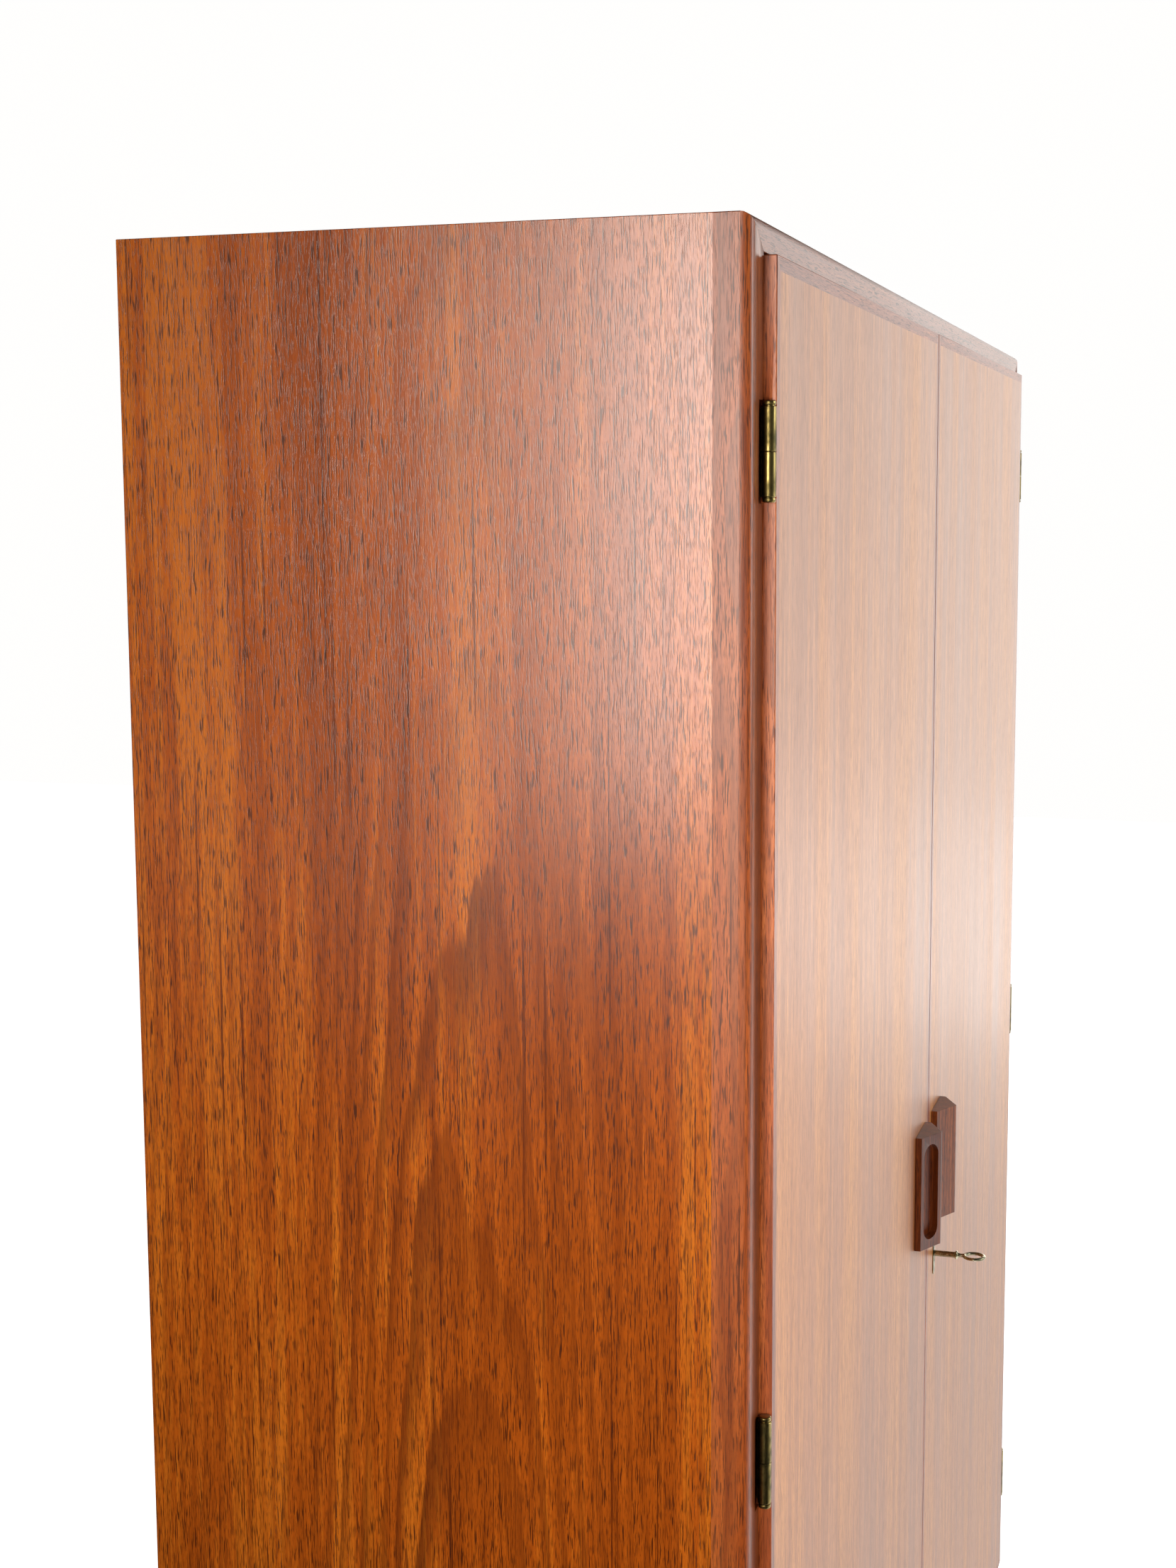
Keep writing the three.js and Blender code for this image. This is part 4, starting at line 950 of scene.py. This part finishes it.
# %% Floor and black cloth
CAMERA_GLOW, PLAIN_GLOW, REFLECTED_GLOW = 0.96, 0.04, 0.85


def flat_sheet(name, low, high, height):
    """A level rectangle from one corner to the other, added to the scene as part of the studio."""
    corners = [(low[0], low[1]), (high[0], low[1]), (high[0], high[1]), (low[0], high[1])]
    mesh = bpy.data.meshes.new(name)
    mesh.from_pydata([(x, y, height) for x, y in corners], [], [(0, 1, 2, 3)])
    sheet = bpy.data.objects.new(name, mesh)
    bpy.context.scene.collection.objects.link(sheet)
    sheet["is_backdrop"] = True
    return sheet


floor = flat_sheet("studio_floor", (-9, -9), (9, 9), 0.0)
plaster = bpy.data.materials.new("pale_painted_floor")
plaster.use_nodes = True
tree = plaster.node_tree
tree.nodes.clear()
own = add(tree, "ShaderNodeTexCoord").outputs["Object"]
cloud = grain_noise(tree, own, 400, 400, 3.0)
paints = {0: cloud, MIX_A: linear("#EDE9E4"), MIX_B: linear("#F6F3EF")}
paint = add(tree, MIX, paints, data_type="RGBA").outputs[MIX_RESULT]
ray = add(tree, "ShaderNodeLightPath").outputs
glow = {0: ray["Is Camera Ray"], 1: CAMERA_GLOW, 2: PLAIN_GLOW}
glow = add(tree, MATH, glow, operation="MULTIPLY_ADD").outputs[0]
glow = {0: ray["Is Glossy Ray"], 1: REFLECTED_GLOW, 2: glow}
glow = add(tree, MATH, glow, operation="MULTIPLY_ADD").outputs[0]
painted = {"Base Color": paint, "Roughness": 0.7}
painted.update({"Emission Color": linear("#FFFFFF"), "Emission Strength": glow})
shader = add(tree, "ShaderNodeBsdfPrincipled", painted)
add(tree, "ShaderNodeOutputMaterial", {"Surface": shader.outputs[0]})
floor.data.materials.append(plaster)

cloth = bpy.data.materials.new("black_studio_cloth")
cloth.use_nodes = True
woven = cloth.node_tree.nodes["Principled BSDF"].inputs
woven["Base Color"].default_value = linear("#0C0B0A")
woven["Roughness"].default_value = 0.95
flag = flat_sheet("black_flag", (-7, -5), (-0.9, 6), 0.01)
flag.visible_camera = flag.visible_diffuse = flag.visible_shadow = False
flag.data.materials.append(cloth)
print("studio sheets:", floor.name, flag.name)

# %% [markdown]
# ## Light
#
# A dim white world fills the shadows. A tall window at the left, with a narrow beam, gives the side its
# satin sheen near the front; a second one at the right is what the doors mirror at a slant, and a third lights
# them from the front. A small wash close to the side lifts the front half of the board without
# being mirrored in it.

# %% Light
WORLD_SEEN, WORLD_FILL, WORLD_MIRRORED = 1.0, 0.12, 0.04
scene = bpy.context.scene
scene.view_settings.view_transform = "Standard"
world = bpy.data.worlds.new("white_studio")
scene.world = world
world.use_nodes = True
tree = world.node_tree
tree.nodes.clear()
ray = add(tree, "ShaderNodeLightPath").outputs
strength = {0: ray["Is Camera Ray"], 1: WORLD_SEEN - WORLD_FILL, 2: WORLD_FILL}
strength = add(tree, MATH, strength, operation="MULTIPLY_ADD").outputs[0]
strength = {0: ray["Is Glossy Ray"], 1: WORLD_MIRRORED - WORLD_FILL, 2: strength}
strength = add(tree, MATH, strength, operation="MULTIPLY_ADD").outputs[0]
sky = add(tree, "ShaderNodeBackground", {"Color": (1.0, 0.995, 0.985, 1.0), "Strength": strength})
add(tree, "ShaderNodeOutputWorld", {"Surface": sky.outputs[0]})


def window(name, place, target, width, height, power, colour, beam=180):
    """A rectangular soft light at a place, turned to face a target, whose beam opens by some degrees."""
    data = bpy.data.lights.new(name, "AREA")
    data.shape = "RECTANGLE"
    data.size, data.size_y, data.energy = width, height, power
    data.color = linear(colour)[:3]
    data.spread = math.radians(beam)
    lamp = bpy.data.objects.new(name, data)
    scene.collection.objects.link(lamp)
    lamp.location = place
    lamp.visible_camera = False
    lamp.rotation_mode = "QUATERNION"
    lamp.rotation_quaternion = (Vector(target) - Vector(place)).to_track_quat("-Z", "Y")
    return lamp


window("left_window", (-3.5, 0.25, 1.7), (-0.75, -0.1, 1.55), 0.95, 1.5, 10.5, "#FFF4EA", 60)
window("right_window", (4.4, -1.0, 1.5), (0.0, -1.0, 1.5), 2.6, 3.2, 68, "#FFFBF6")
window("front_window", (0.6, -3.2, 2.4), (0.0, -0.2, 1.0), 2.4, 1.8, 74, "#FFFFFF")
wash = window("side_wash", (-1.75, -0.8, 1.2), (-0.75, -0.15, 1.15), 0.7, 0.7, 4.4, "#FFFFFF", 75)
wash.visible_glossy = False

# %% [markdown]
# ## Camera
#
# The camera is at eye height, close to the front left corner, and looks slightly down, so the side is
# nearly square to it and the doors run away at a slant. Its axes are worked out from a turn about the
# vertical, a tilt downwards and a very small roll. The lens is a normal one, of about 50 mm.

# %% Camera
yaw, pitch, roll = math.radians(72.695), math.radians(7.173), math.radians(0.3315)
ahead = Vector((math.sin(yaw) * math.cos(pitch), math.cos(yaw) * math.cos(pitch), -math.sin(pitch)))
level = Vector((math.cos(yaw), -math.sin(yaw), 0))
down = ahead.cross(level)
right = level * math.cos(roll) + down * math.sin(roll)
down = down * math.cos(roll) - level * math.sin(roll)
lens = bpy.data.cameras.new("eye_height_camera")
lens.lens, lens.sensor_width = 50.65, 36.0
camera = bpy.data.objects.new("eye_height_camera", lens)
scene.collection.objects.link(camera)
standpoint = Matrix.Translation((-2.13678, -0.51649, 1.56537))
camera.matrix_world = standpoint @ Matrix((right, -down, -ahead)).transposed().to_4x4()
scene.camera = camera
print("camera height in metres:", round(camera.location.z, 3))

# %% [markdown]
# ## Size and finish
#
# The dressed wardrobe must stay inside the box of the CAD model, or the two would not meet other parts alike.
# We work out the box of the dressed wardrobe and print it.

low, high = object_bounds()
print("visual box:", tuple(low), tuple(high))
